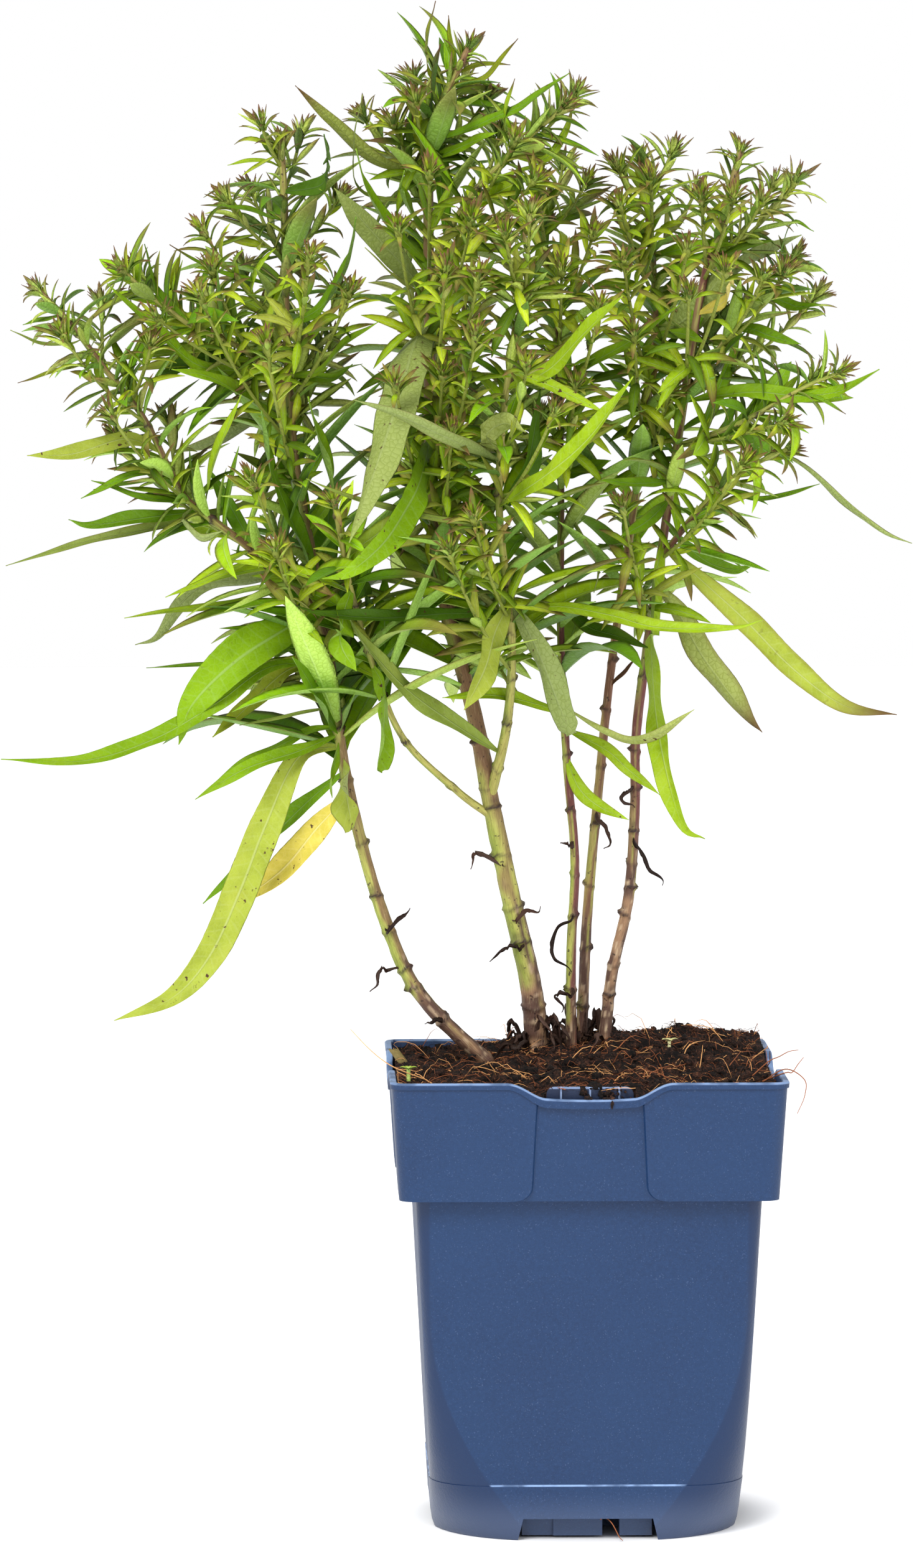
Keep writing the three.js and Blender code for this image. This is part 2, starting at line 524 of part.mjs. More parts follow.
// The rim sinks in an S-curve at the middle of each side
function dipOutline() {
  const outline = [];
  for (let k = 0; k <= 4; k += 1) {
    const x = DIP_HALF + (DIP_FLAT_HALF - DIP_HALF) * k / 4;
    outline.push([x, POT_HEIGHT + 0.01 - DIP_DEPTH * smooth(k / 4)]);
  }
  const left = outline.map(([x, z]) => [-x, z]).reverse();
  return [...outline, ...left, [-DIP_HALF, POT_HEIGHT + 2], [DIP_HALF, POT_HEIGHT + 2]];
}

// The strip between the two raised panels flares at its foot with a round corner
function stripOutline() {
  const right = [];
  for (let k = 0; k <= 3; k += 1) {
    const angle = Math.PI / 2 * k / 3;
    right.push([
      STRIP_HALF_FOOT + STRIP_CORNER * (1 - Math.sin(angle)),
      COLLAR_BOTTOM - 0.5 + (STRIP_CORNER + 0.5) * (1 - Math.cos(angle))]);
  }
  right.push([STRIP_HALF_TOP, POT_HEIGHT + 1]);
  return [...right, ...right.map(([x, z]) => [-x, z]).reverse()];
}

function pocket() {
  const front = -RIM / 2 + POCKET_GAP;
  const back = front + POCKET_WALL;
  const wallInside = -collarHalf(POCKET_FOOT) + (WALL + PANEL_PROUD) / 2;
  const corner = 3;
  const panel = plate([
    [-POCKET_HALF, POCKET_FOOT], [POCKET_HALF, POCKET_FOOT],
    [POCKET_HALF, POCKET_TOP - corner], [POCKET_HALF - corner, POCKET_TOP],
    [corner - POCKET_HALF, POCKET_TOP], [-POCKET_HALF, POCKET_TOP - corner],
  ], front, back);
  const depth = back - wallInside;
  const sideHeight = POT_HEIGHT - DIP_DEPTH - POCKET_FOOT;
  const parts = [panel];
  for (const side of [-1, 1]) {
    parts.push(block(POCKET_WALL, depth, sideHeight,
      side * (POCKET_HALF - POCKET_WALL / 2), (back + wallInside) / 2, POCKET_FOOT));
  }
  parts.push(block(2 * POCKET_HALF, depth, POCKET_WALL, 0, (back + wallInside) / 2, POCKET_FOOT));
  for (const place of [-1, 0, 1]) {
    parts.push(block(1, 1.2, POCKET_TOP - 3 - POCKET_FOOT,
      place * POCKET_RIB_PITCH, front, POCKET_FOOT));
  }
  return parts.map(solidFrom);
}

function potBase() {
  const parts = [block(PLINTH, PLINTH, FLOOR_TOP - 0.5, 0, 0, 0)];
  for (const [x, width, setBack] of [[-13.7, 9, 8.3], [-2.7, 13.6, 7.5], [13.4, 9, 7.5]]) {
    parts.push(block(width, 6, FLOOR_TOP - 1.2, x, -BASE / 2 + setBack, 0.7));
  }
  return parts.flatMap((part, index) => (index ? onFourSides(part) : [solidFrom(part)]));
}

// Drainage holes: one by each side of the floor and one by each corner
function drainage() {
  return [[0, -HOLE_REACH], [CORNER_HOLE, CORNER_HOLE]].flatMap(([x, y]) => {
    const hole = new THREE.CylinderGeometry(HOLE_RADIUS, HOLE_RADIUS, 8, 8)
      .rotateX(Math.PI / 2).translate(x, y, FLOOR_TOP);
    return onFourSides(hole);
  });
}

function makePot() {
  const lowest = FLOOR_TOP - FLOOR_THICK;
  const hollow = loft(potRings(WALL, FLOOR_TOP, POT_HEIGHT + 1));
  const under = loft([-1, 2, lowest].map((z) => roundedSquare(
    bodyHalf(Math.max(z, 0)) - WALL, lookup(CORNERS, Math.max(z, 0)) - WALL, z)));
  const slope = (collarHalf(POT_HEIGHT) - collarHalf(COLLAR_BOTTOM)) / (POT_HEIGHT - COLLAR_BOTTOM);
  const face = -COLLAR_FOOT / 2;
  const strip = plate(stripOutline(), face - 3, face + PANEL_PROUD, slope, COLLAR_BOTTOM);
  const dip = plate(dipOutline(), -RIM, -RIM / 4);
  const notch = block(NOTCH_WIDTH, 12, NOTCH_HEIGHT + 1, 0, -BASE / 2, -1);
  const cuts = [strip, dip, notch].flatMap(onFourSides);
  const shell = loft(outerRings()).subtract(wasm.Manifold.union([hollow, under, ...cuts]));
  const furnished = wasm.Manifold.union([shell, ...potBase(), ...pocket()]);
  return mainBody(furnished.subtract(wasm.Manifold.union(drainage())).simplify(0.01));
}

// Compost

function soilHeight(x, y) {
  const mound = MOUND_HEIGHT * Math.exp(
    -(((x - MOUND.x) / MOUND.wide) ** 2) - ((y - MOUND.y) / MOUND.deep) ** 2);
  const rise = BACK_RISE * smooth(x / 45) * smooth(y / 40);
  const clods = 0.6 * Math.sin(x * 0.31 + 1.3) * Math.sin(y * 0.27 - 0.4);
  return SOIL_LEVEL + mound + rise + clods;
}

function makeSoil(stems) {
  const inset = WALL + PANEL_PROUD + CLEAR;
  const rings = potRings(inset, FLOOR_TOP + CLEAR, POT_HEIGHT - 6);
  const edge = rings.at(-1);
  for (const share of [1, 0.78, 0.52, 0.27]) {
    rings.push(edge.map((p) => new THREE.Vector3(
      p.x * share, p.y * share, soilHeight(p.x * share, p.y * share))));
  }
  rings.push([new THREE.Vector3(0, 0, soilHeight(0, 0))]);
  const pocketRoom = solidFrom(block(
    2 * (POCKET_HALF + CLEAR), 20, 40, 0,
    -RIM / 2 + POCKET_GAP + POCKET_WALL + CLEAR - 10, POCKET_FOOT - CLEAR));
  return mainBody(loft(rings).subtract(wasm.Manifold.union([pocketRoom, ...stems])));
}

// Stems, shoots and leaves

// A section of even sides carried square along a way, with a crown of bracts if asked
function tube(way, radii, sides, crowned = false) {
  const rings = [];
  let across = null;
  let crown = null;
  for (let i = 0; i < way.length; i += 1) {
    const before = way[Math.max(i - 1, 0)];
    const after = way[Math.min(i + 1, way.length - 1)];
    const along = new THREE.Vector3().subVectors(after, before).normalize();
    const start = across ?? new THREE.Vector3(1, 0, 0);
    across = start.clone().addScaledVector(along, -start.dot(along)).normalize();
    const side = new THREE.Vector3().crossVectors(along, across);
    const round = (radius, shift, rise) => Array.from({ length: sides }, (_, k) => {
      const angle = 2 * Math.PI * (k + shift) / sides;
      return way[i].clone()
        .addScaledVector(across, radius * Math.cos(angle))
        .addScaledVector(side, radius * Math.sin(angle))
        .addScaledVector(along, rise);
    });
    rings.push(round(radii[i], 0, 0));
    crown = {
      middle: way[i].clone().addScaledVector(along, BRACT_LENGTH * 0.3),
      tips: round(BRACT_FLARE, 0.5, BRACT_LENGTH),
    };
  }
  return loft(rings, crowned ? crown : null);
}

function curveThrough(places) {
  return new THREE.CatmullRomCurve3(places, false, 'catmullrom', 0.5);
}

function axisCurve(axis) {
  return curveThrough(axis.way.map(([x, z, y]) => seen(x, z, y)));
}

// The share of a curve's length at which it first reaches a height
function shareAtHeight(curve, height) {
  const steps = 120;
  for (let i = 0; i <= steps; i += 1) {
    if (curve.getPoint(i / steps).z >= height) return i / steps;
  }
  return 1;
}

function axisRadius(axis, share) {
  return axis.radius[0] + (axis.radius[1] - axis.radius[0]) * share ** 0.7;
}

// The places and radii along an axis. A stem from the soil starts with a straight root end
// below it, and every axis ends in a bud head.
function stemWay(axis) {
  const curve = axisCurve(axis);
  const count = axis.way.length;
  const way = [];
  const radii = [];
  for (let i = 0; i < count; i += 1) {
    way.push(curve.getPoint(i / (count - 1)));
    radii.push(axisRadius(axis, i / (count - 1)));
  }
  radii[count - 1] = HEAD_RADIUS;
  if (isRooted(axis)) {
    way.unshift(way[0].clone().setZ(way[0].z - STEM_BURIED));
    radii.unshift(radii[0]);
  }
  return { way, radii };
}

function isRooted(axis) {
  return axis.way[0][1] < ROOTED_BELOW;
}

function stemSolid(axis) {
  const { way, radii } = stemWay(axis);
  return tube(way, radii, axis.radius[0] > 1.5 ? 6 : 4, true);
}

// The hole that a rooted stem stands in: its lowest stretch, wider by the clearance
function stemSocket(axis) {
  const { way, radii } = stemWay(axis);
  way[0].z -= CLEAR;
  return tube(way.slice(0, 4), radii.slice(0, 4).map((radius) => radius + CLEAR), 6);
}

// Half width of a long leaf by the share of its length
function leafHalf(width, share) {
  const peak = 0.42;
  const base = 0.14;
  const rise = base + (1 - base) * Math.sin(Math.PI / 2 * Math.min(share / peak, 1));
  const past = Math.max(share - peak, 0) / (1 - peak);
  return width / 2 * rise * Math.cos(Math.PI / 2 * past ** 1.35);
}

// The face's normal: turned about the midrib from upward towards the viewer
function faceNormal(along, turn) {
  const up = UP.clone().addScaledVector(along, -UP.dot(along)).normalize();
  const side = new THREE.Vector3().crossVectors(up, along);
  const towards = side.y < 0 ? side : side.negate();
  const angle = THREE.MathUtils.degToRad(turn);
  return up.multiplyScalar(Math.cos(angle)).addScaledVector(towards, Math.sin(angle));
}

// A long blade with a folded, wavy section: rib above, edge, rib below, edge
function longLeaf(curve, width, turn, shares, seed) {
  const ribHalf = 0.42;
  const fold = 0.32;
  const rings = shares.map((share) => {
    const at = curve.getPointAt(share);
    const along = curve.getTangentAt(share);
    const normal = faceNormal(along, turn);
    const side = new THREE.Vector3().crossVectors(normal, along);
    const half = leafHalf(width, share);
    const lift = half * (fold + 0.3 * Math.sin(9 * share + 6.28 * draw(seed)));
    const edge = (way) => at.clone().addScaledVector(side, way * half)
      .addScaledVector(normal, lift);
    const rib = (way) => at.clone().addScaledVector(normal, way * ribHalf);
    return [rib(1), edge(1), rib(-1), edge(-1)];
  });
  rings.push([curve.getPointAt(1)]);
  return loft(rings);
}

// A small leaf, bract or withered leaf: three-sided, flat above and keeled below
function smallLeaf(places, width, normal) {
  const curve = curveThrough(places);
  const shares = places.length > 3 ? [0, 0.35, 0.7] : [0, 0.45];
  const keel = 0.6;
  const rings = shares.map((share) => {
    const at = curve.getPointAt(share);
    const along = curve.getTangentAt(share);
    const face = normal.clone().addScaledVector(along, -normal.dot(along)).normalize();
    const side = new THREE.Vector3().crossVectors(face, along);
    const half = width / 2 * (share > 0 ? 1 : 0.55);
    return [
      at.clone().addScaledVector(side, half).addScaledVector(face, 0.15),
      at.clone().addScaledVector(side, -half).addScaledVector(face, 0.15),
      at.clone().addScaledVector(face, -keel)];
  });
  rings.push([curve.getPointAt(1)]);
  return loft(rings);
}

// A piece is bent clear of what stands already, by steps in depth that grow to its tip. It
// may meet the host that carries it, and pieces of its own stem where nothing else serves.
// Pieces are kept with their boxes, so only near ones are measured.
const placed = [];

function boxOf(solid) {
  const { min, max } = solid.boundingBox();
  return new THREE.Box3(new THREE.Vector3(...min), new THREE.Vector3(...max));
}

function isClear(solid, group, host, strict) {
  const box = boxOf(solid).expandByScalar(CLEAR);
  return placed.every((other) => {
    const kin = other.group === group;
    if (other.host === host || (kin && !strict) || !other.box.intersectsBox(box)) return true;
    return other.solid.minGap(solid, CLEAR) >= (kin ? TOUCH : CLEAR);
  });
}

function keep(solid, group, host) {
  placed.push({ solid, group, host, box: boxOf(solid) });
}

// Tries a maker of solids at each bend, and keeps the first that is clear
function placeClear(group, host, own, bends, make) {
  for (const strict of [true, false]) {
    for (const bend of bends) {
      const solid = make(bend);
      if (isClear(solid, group, host, strict)) {
        keep(solid, group, own);
        return bend;
      }
    }
  }
  return null;
}

// The way of a piece from its axis through places seen, its depth moving evenly to the tip's
function wayFrom(root, places, tipDepth, bend) {
  const lengths = [0];
  places.forEach(([x, z], i) => {
    const [px, pz] = i ? places[i - 1] : [root.x, root.z];
    lengths.push(lengths[i] + Math.hypot(x - px, z - pz));
  });
  const total = lengths.at(-1);
  const way = places.map(([x, z], i) => {
    const share = lengths[i + 1] / total;
    return seen(x, z, root.y + (tipDepth + bend - root.y) * share);
  });
  return [root, ...way];
}

function addLargeLeaf(axisName, [height, width, turn, tipDepth, places], seed) {
  const axis = AXES[axisName];
  const curve = axisCurve(axis);
  const root = curve.getPoint(shareAtHeight(curve, height));
  placeClear(axis.group, axisName, `leaf ${seed}`, BENDS, (bend) => {
    const way = wayFrom(root, places, tipDepth, bend);
    const turned = faceNormal(curveThrough(way).getTangentAt(0.5), turn);
    if (width < NARROW) return smallLeaf(way, width, turned);
    const shares = places.length > 3 ? [0, 0.25, 0.52, 0.8] : [0, 0.36, 0.75];
    return longLeaf(curveThrough(way), width, turn, shares, seed);
  });
}

// A side shoot leaves its axis below the tip by a rise that grows with the reach, and
// curves upward into a swollen bud head.
function shootWay(curve, tip) {
  let root = curve.getPoint(1);
  for (let i = 0; i < 3; i += 1) {
    const reach = Math.hypot(tip.x - root.x, tip.y - root.y);
    root = curve.getPoint(Math.min(shareAtHeight(curve, tip.z - 8 - 0.7 * reach), 0.97));
  }
  const elbow = new THREE.Vector3(
    root.x + (tip.x - root.x) * 0.6, root.y + (tip.y - root.y) * 0.6,
    root.z + (tip.z - root.z) * 0.38);
  return new THREE.QuadraticBezierCurve3(root, elbow, tip);
}

// A ring of a shoot: its places, its middle, the way along it and the outward directions
function shootRing(way, share, radius, spin) {
  const middle = way.getPoint(share);
  const along = way.getTangent(share);
  const across = new THREE.Vector3(1, 0, 0);
  across.addScaledVector(along, -across.dot(along)).normalize();
  const outward = (k) => across.clone()
    .applyAxisAngle(along, spin + 2 * Math.PI * k / LEAVES_ROUND);
  const places = [0, 1, 2].map((k) => middle.clone().addScaledVector(outward(k), radius));
  return { places, middle, along, outward };
}

// A small leaf raised from a triangle on a shoot: it widens to its middle, with a low ridge
// above, and arches outward to a point.
function raiseLeaf(mesh, [a, b, c], { middle, along, outward }, k, size, width) {
  const out = outward(k + 0.5);
  const side = new THREE.Vector3().crossVectors(along, out);
  const half = middle.clone().addScaledVector(out, 0.36 * size).addScaledVector(along, 0.3 * size);
  const tip = middle.clone().addScaledVector(out, 0.84 * size).addScaledVector(along, 0.46 * size);
  const first = mesh.points.length;
  mesh.points.push(
    half.clone().addScaledVector(side, -width / 2), half.clone().addScaledVector(side, width / 2),
    half.clone().addScaledVector(along, 0.65), tip);
  const [root, wide] = [[a, b, c], [first, first + 1, first + 2]];
  for (let i = 0; i < 3; i += 1) {
    const j = (i + 1) % 3;
    mesh.triangles.push(root[i], root[j], wide[j], root[i], wide[j], wide[i]);
    mesh.triangles.push(wide[i], wide[j], first + 3);
  }
}

// A shoot with one or two whorls of three leaves and a crown of bracts on its bud head
function shootSolid(way, seed, spin, leafy) {
  const whorls = way.getLength() > LONG_SHOOT ? [0.45, 0.8] : [0.5 + 0.25 * draw(seed)];
  const rings = [shootRing(way, 0, SHOOT_RADIUS, spin)];
  whorls.forEach((share, i) => {
    const turn = spin + WHORL_TWIST * (i + 1);
    const next = share + WHORL_HEIGHT / way.getLength();
    rings.push(shootRing(way, share, SHOOT_RADIUS, turn));
    rings.push(shootRing(way, next, SHOOT_RADIUS, turn));
  });
  rings.push(shootRing(way, 1, HEAD_RADIUS, spin + WHORL_TWIST * (whorls.length + 0.5)));
  const mesh = { points: rings.flatMap((ring) => ring.places), triangles: [2, 1, 0] };
  for (let i = 0; i + 1 < rings.length; i += 1) {
    for (let k = 0; k < LEAVES_ROUND; k += 1) {
      const j = (k + 1) % LEAVES_ROUND;
      const [a, b] = [3 * i + k, 3 * i + j];
      const [c, d] = [b + 3, a + 3];
      const isWhorl = i % 2 === 1 && leafy;
      if (isWhorl) {
        const key = seed * 7.1 + i * 3 + k;
        raiseLeaf(mesh, [a, b, c], rings[i], k, 9 + 9 * draw(key), 2.2 + draw(key + 0.5));
        mesh.triangles.push(a, c, d);
      } else {
        mesh.triangles.push(a, b, d, b, c, d);
      }
    }
  }
  addCrown(mesh, rings.at(-1), mesh.points.length, 3 * (rings.length - 1));
  return solidOf(mesh.points, mesh.triangles);
}

function addCrown(mesh, { middle, along, outward }, sunk, start) {
  mesh.points.push(middle.clone().addScaledVector(along, BRACT_LENGTH * 0.3));
  for (let k = 0; k < LEAVES_ROUND; k += 1) {
    const [a, b] = [start + k, start + (k + 1) % LEAVES_ROUND];
    const tip = sunk + 1 + k;
    mesh.points.push(middle.clone().addScaledVector(outward(k + 0.5), BRACT_FLARE)
      .addScaledVector(along, BRACT_LENGTH));
    mesh.triangles.push(a, b, tip, b, sunk, tip, sunk, a, tip);
  }
}

// A leafy shoot is turned or bent until it is clear, and stays bare where that fails
function addShoot(axisName, [x, z, y], seed) {
  const axis = AXES[axisName];
  const curve = axisCurve(axis);
  const tries = BENDS.flatMap((bend) => TURNS.map((turn) => ({ bend, turn })));
  const make = (leafy) => ({ bend, turn }) => shootSolid(
    shootWay(curve, seen(x, z, y + bend)), seed, seed * 2.4 + turn, leafy);
  return placeClear(axis.group, axisName, `shoot ${seed}`, tries, make(true))
    ?? placeClear(axis.group, axisName, `shoot ${seed}`, tries, make(false));
}

function addWithered(axisName, places, seed) {
  const axis = AXES[axisName];
  const curve = axisCurve(axis);
  const root = curve.getPoint(shareAtHeight(curve, places[0][1]));
  const front = root.y - 2 - 2 * draw(seed);
  const way = [root, ...places.map(([x, z]) => seen(x, z, front))];
  const normal = new THREE.Vector3(0.3, -1, 0.4).normalize();
  placeClear(axis.group, axisName, `withered ${seed}`, [1, 0.7, 0.4], (share) => smallLeaf(
    way.map((place) => root.clone().lerp(place, share)), 1.6, normal));
}

// Twins stand behind the stem at the mirrored depth, drawn a little aside
function twinOf(axisName, [x, z, y], seed) {
  const curve = axisCurve(AXES[axisName]);
  const stem = curve.getPoint(shareAtHeight(curve, z - 25));
  return [x + (stem.x - x) * 0.3 * draw(seed), z - 6 * draw(seed + 0.5),
    2 * stem.y - y + 10 * (draw(seed + 0.7) - 0.5)];
}

const SHORT_AXES = ['firstLeft', 'firstUpper', 'secondTop', 'fifthRight', 'fifthPurple'];

function allShoots() {
  const list = Object.entries(SHOOTS).flatMap(([name, tips]) => tips.map((tip) => ({ name, tip })));
  const fronts = list.filter(({ name, tip }) => tip[2] < TWIN_DEPTH && !SHORT_AXES.includes(name));
  const twins = fronts.map(({ name, tip }, i) => ({ name, tip: twinOf(name, tip, i + 0.21) }));
  return [...list, ...twins];
}

function makePlant() {
  for (const [name, axis] of Object.entries(AXES)) keep(stemSolid(axis), axis.group, name);
  let seed = 1;
  for (const [name, rows] of Object.entries(LEAVES)) {
    for (const row of rows) addLargeLeaf(name, row, seed += 1);
  }
  for (const { name, tip } of allShoots()) addShoot(name, tip, seed += 1);
  for (const [name, ways] of Object.entries(WITHERED)) {
    for (const way of ways) addWithered(name, way, seed += 1);
  }
}

// Stub and seedlings

function makeStub() {
  const { x, y, radius, bore, top, lean } = STUB;
  const bottom = soilHeight(x, y) - 8;
  const high = top - bottom;
  const pole = new THREE.CylinderGeometry(radius, radius * 0.9, high, 9)
    .rotateX(Math.PI / 2).translate(x, y, bottom + high / 2);
  const hole = new THREE.CylinderGeometry(bore, bore * 0.8, high, 7)
    .rotateX(Math.PI / 2).translate(x, y, bottom + high / 2 + 4);
  const upright = solidFrom(pole).subtract(solidFrom(hole));
  const bend = soilHeight(x, y);
  return upright.refineToLength(3).warp((place) => {
    place[0] -= lean * Math.max(place[2] - bend, 0);
  });
}

function makeSeedling({ x, y, leaves, size }, extra = 0) {
  const ground = soilHeight(x, y);
  const way = [-5, 1, 4].map((rise) => new THREE.Vector3(x, y, ground + rise));
  const solids = [tube(way, [0.55, 0.55, 0.5].map((r) => r + extra), 5, false)];
  if (extra) return solids[0];
  const stalk = new THREE.LineCurve3(way[0], way[2]);
  const ring = shootRing(stalk, 0.9, 0.5, x);
  for (let k = 0; k < leaves; k += 1) {
    const out = ring.outward(k * LEAVES_ROUND / leaves);
    const reach = size * (0.8 + 0.4 * draw(x + k));
    const places = [[0, 0], [0.5, 0.28], [1, 0.2]].map(([far, rise]) => ring.middle.clone()
      .addScaledVector(out, far * reach).addScaledVector(UP, rise * reach));
    solids.push(smallLeaf(places, 1.6, UP));
  }
  return fuse(solids);
}

// The whole part

const group = new THREE.Group();
makePlant();
const sockets = [
  ...Object.values(AXES).filter(isRooted).map(stemSocket),
  ...SEEDLINGS.map((seedling) => makeSeedling(seedling, CLEAR)),
  solidFrom(new THREE.CylinderGeometry(STUB.radius + CLEAR, STUB.radius + CLEAR, 20, 9)
    .rotateX(Math.PI / 2).translate(STUB.x, STUB.y, soilHeight(STUB.x, STUB.y) + 2 - CLEAR)),
];
group.add(meshOf('pot', makePot(), 0x3f5586, 0.45));
group.add(meshOf('compost', makeSoil(sockets), 0x3a2a20, 0.95));
for (const stem of [1, 2, 3, 4, 5]) {
  const solids = placed.filter((piece) => piece.group === stem).map((piece) => piece.solid);
  group.add(meshOf(`leafy_stem_${stem}`, fuse(solids), 0x7d9a35, 0.6));
}
group.add(meshOf('old_stem_stub', makeStub(), 0x9a8a55, 0.8));
for (const seedling of SEEDLINGS) {
  group.add(meshOf(seedling.name, makeSeedling(seedling), 0x6f9a3a, 0.6));
}

export default group;
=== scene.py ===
# A perennial aster in a square plastic nursery pot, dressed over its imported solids.
# Metres, +Z up. The pot's front faces -Y, and the origin is the middle of its foot.
import math
import bpy
import numpy as np
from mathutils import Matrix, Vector


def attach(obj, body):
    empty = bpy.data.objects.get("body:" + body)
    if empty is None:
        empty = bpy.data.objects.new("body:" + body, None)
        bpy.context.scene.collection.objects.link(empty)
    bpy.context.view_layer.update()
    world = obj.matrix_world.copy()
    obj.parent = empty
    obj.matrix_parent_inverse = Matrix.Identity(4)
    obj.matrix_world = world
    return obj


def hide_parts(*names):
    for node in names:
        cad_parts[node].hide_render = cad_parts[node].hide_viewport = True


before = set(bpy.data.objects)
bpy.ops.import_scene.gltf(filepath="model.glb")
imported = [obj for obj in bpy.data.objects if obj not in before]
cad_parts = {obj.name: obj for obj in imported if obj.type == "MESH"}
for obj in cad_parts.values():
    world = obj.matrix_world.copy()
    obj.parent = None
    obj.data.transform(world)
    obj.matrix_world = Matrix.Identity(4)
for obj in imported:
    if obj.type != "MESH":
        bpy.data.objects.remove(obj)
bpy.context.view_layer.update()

# Camera
# The picture is taken from two metres in front, a little left of the pot and above its rim,
# with a long lens. Sizes below are in millimetres, and MM turns them into metres.
MM = 0.001
CAMERA_PLACE = (-83, -1958, 357.5)
CAMERA_AIM = (-35.45, 0, 207.2)
LENS = 160.5

camera = bpy.data.objects.new("camera", bpy.data.cameras.new("camera"))
camera.data.lens = LENS
camera.data.sensor_width = 36
camera.location = Vector(CAMERA_PLACE) * MM
looking = Vector(CAMERA_AIM) - Vector(CAMERA_PLACE)
camera.rotation_euler = looking.to_track_quat("-Z", "Y").to_euler()
bpy.context.scene.collection.objects.link(camera)
bpy.context.scene.camera = camera

# Studio
# A white sweep of seamless floor in white surroundings that dim towards the ceiling, with one
# broad soft lamp high on the left and a weaker one on the right, so that leaf tops catch the
# light and shadows stay faint.
bpy.context.scene.view_settings.view_transform = "Standard"
world = bpy.data.worlds.new("studio")
world.use_nodes = True
around = world.node_tree.nodes["Background"]
around.inputs["Color"].default_value = (1, 1, 1, 1)
way_out = world.node_tree.nodes.new("ShaderNodeTexCoord")
height_of_it = world.node_tree.nodes.new("ShaderNodeSeparateXYZ")
dimmed = world.node_tree.nodes.new("ShaderNodeMapRange")
for name, value in {"From Min": 0.12, "From Max": 0.6, "To Min": 1.0, "To Max": 0.35}.items():
    dimmed.inputs[name].default_value = value
world.node_tree.links.new(way_out.outputs["Generated"], height_of_it.inputs[0])
world.node_tree.links.new(height_of_it.outputs["Z"], dimmed.inputs["Value"])
world.node_tree.links.new(dimmed.outputs[0], around.inputs["Strength"])
bpy.context.scene.world = world


def soft_lamp(name, place, width, power):
    """A square area lamp at a place in metres, turned to the middle of the plant."""
    lamp = bpy.data.objects.new(name, bpy.data.lights.new(name, "AREA"))
    lamp.data.size = width
    lamp.data.energy = power
    lamp.location = place
    lamp.rotation_euler = (Vector((0, 0, 0.25)) - lamp.location).to_track_quat("-Z", "Y").to_euler()
    bpy.context.scene.collection.objects.link(lamp)


soft_lamp("key_lamp", (-0.8, -1.5, 1.9), 1.2, 60)
soft_lamp("fill_lamp", (1.6, -1.2, 1.0), 1.4, 16)


class Value:
    """A shader socket that is added to, taken from, multiplied and divided like a number."""

    def __init__(self, finish, socket):
        self.finish = finish
        self.socket = socket

    def __add__(self, other):
        return self.finish.maths("ADD", self, other)

    def __sub__(self, other):
        return self.finish.maths("SUBTRACT", self, other)

    def __rsub__(self, other):
        return self.finish.maths("SUBTRACT", other, self)

    def __mul__(self, other):
        return self.finish.maths("MULTIPLY", self, other)

    def __truediv__(self, other):
        return self.finish.maths("DIVIDE", self, other)

    __radd__ = __add__
    __rmul__ = __mul__


class Finish:
    """A material whose nodes are added by one method, and whose masks are written as sums."""

    def __init__(self, name, **settled):
        """Settles the shader's plain values. An underscore in a name stands for a space."""
        self.material = bpy.data.materials.new(name)
        self.material.use_nodes = True
        self.tree = self.material.node_tree
        self.shader = self.tree.nodes["Principled BSDF"]
        for socket, value in settled.items():
            self.shader.inputs[socket.replace("_", " ")].default_value = value

    def node(self, kind, settings=None, sockets=None, output=0):
        """Adds a node: first its settings, or a ramp's stops, then values or links."""
        node = self.tree.nodes.new("ShaderNode" + kind)
        for name, value in (settings or {}).items():
            if name == "stops":
                while len(node.color_ramp.elements) < len(value):
                    node.color_ramp.elements.new(1)
                for element, (place, colour) in zip(node.color_ramp.elements, value):
                    element.position = place
                    element.color = colour
            else:
                setattr(node, name, value)
        for name, value in (sockets or {}).items():
            if isinstance(value, Value):
                self.tree.links.new(value.socket, node.inputs[name])
            else:
                node.inputs[name].default_value = value
        return Value(self, node.outputs[output])

    def maths(self, operation, first, second=0.0):
        """One operation on two values or numbers."""
        return self.node("Math", {"operation": operation}, {0: first, 1: second})

    def step(self, value, low, high):
        """0 below low, 1 above high, with a soft rise between; falls where low is above high."""
        return self.node("MapRange", {"interpolation_type": "SMOOTHSTEP"},
                         {"Value": value, "From Min": low, "From Max": high})

    def mix(self, share, first, second):
        """The first colour where the share is 0, the second where it is 1, a blend between."""
        return self.node("Mix", {"data_type": "RGBA"}, {0: share, 6: first, 7: second}, 2)

    def place(self):
        """The place on the piece, in metres."""
        return self.node("TexCoord", output="Object")

    def layer(self, name, output="Fac"):
        """The value or colour that the mesh keeps for each place under this name."""
        return self.node("Attribute", {"attribute_name": name}, output=output)

    def noise(self, vector, scale, detail=2.0, roughness=0.5):
        """Smooth noise from 0 to 1 with scale waves to a unit, and over it as many finer
        layers as detail says, each weaker than the one before by the roughness."""
        return self.node("TexNoise", None, {
            "Vector": vector, "Scale": scale, "Detail": detail, "Roughness": roughness})

    def show(self, **sockets):
        """Links what varies over the surface to the shader."""
        for name, value in sockets.items():
            self.tree.links.new(value.socket, self.shader.inputs[name.replace("_", " ")])

    def relief(self, height, distance):
        """Shades the surface as if it rose by the height times the distance, in metres."""
        self.show(Normal=self.node("Bump", None, {"Height": height, "Distance": distance}))


def paint(red, green, blue):
    """A linear colour from the 0 to 255 values of a picture."""
    share = np.array([red, green, blue]) / 255
    brightness = np.where(share <= 0.04045, share / 12.92, ((share + 0.055) / 1.055) ** 2.4)
    return (*brightness.tolist(), 1.0)


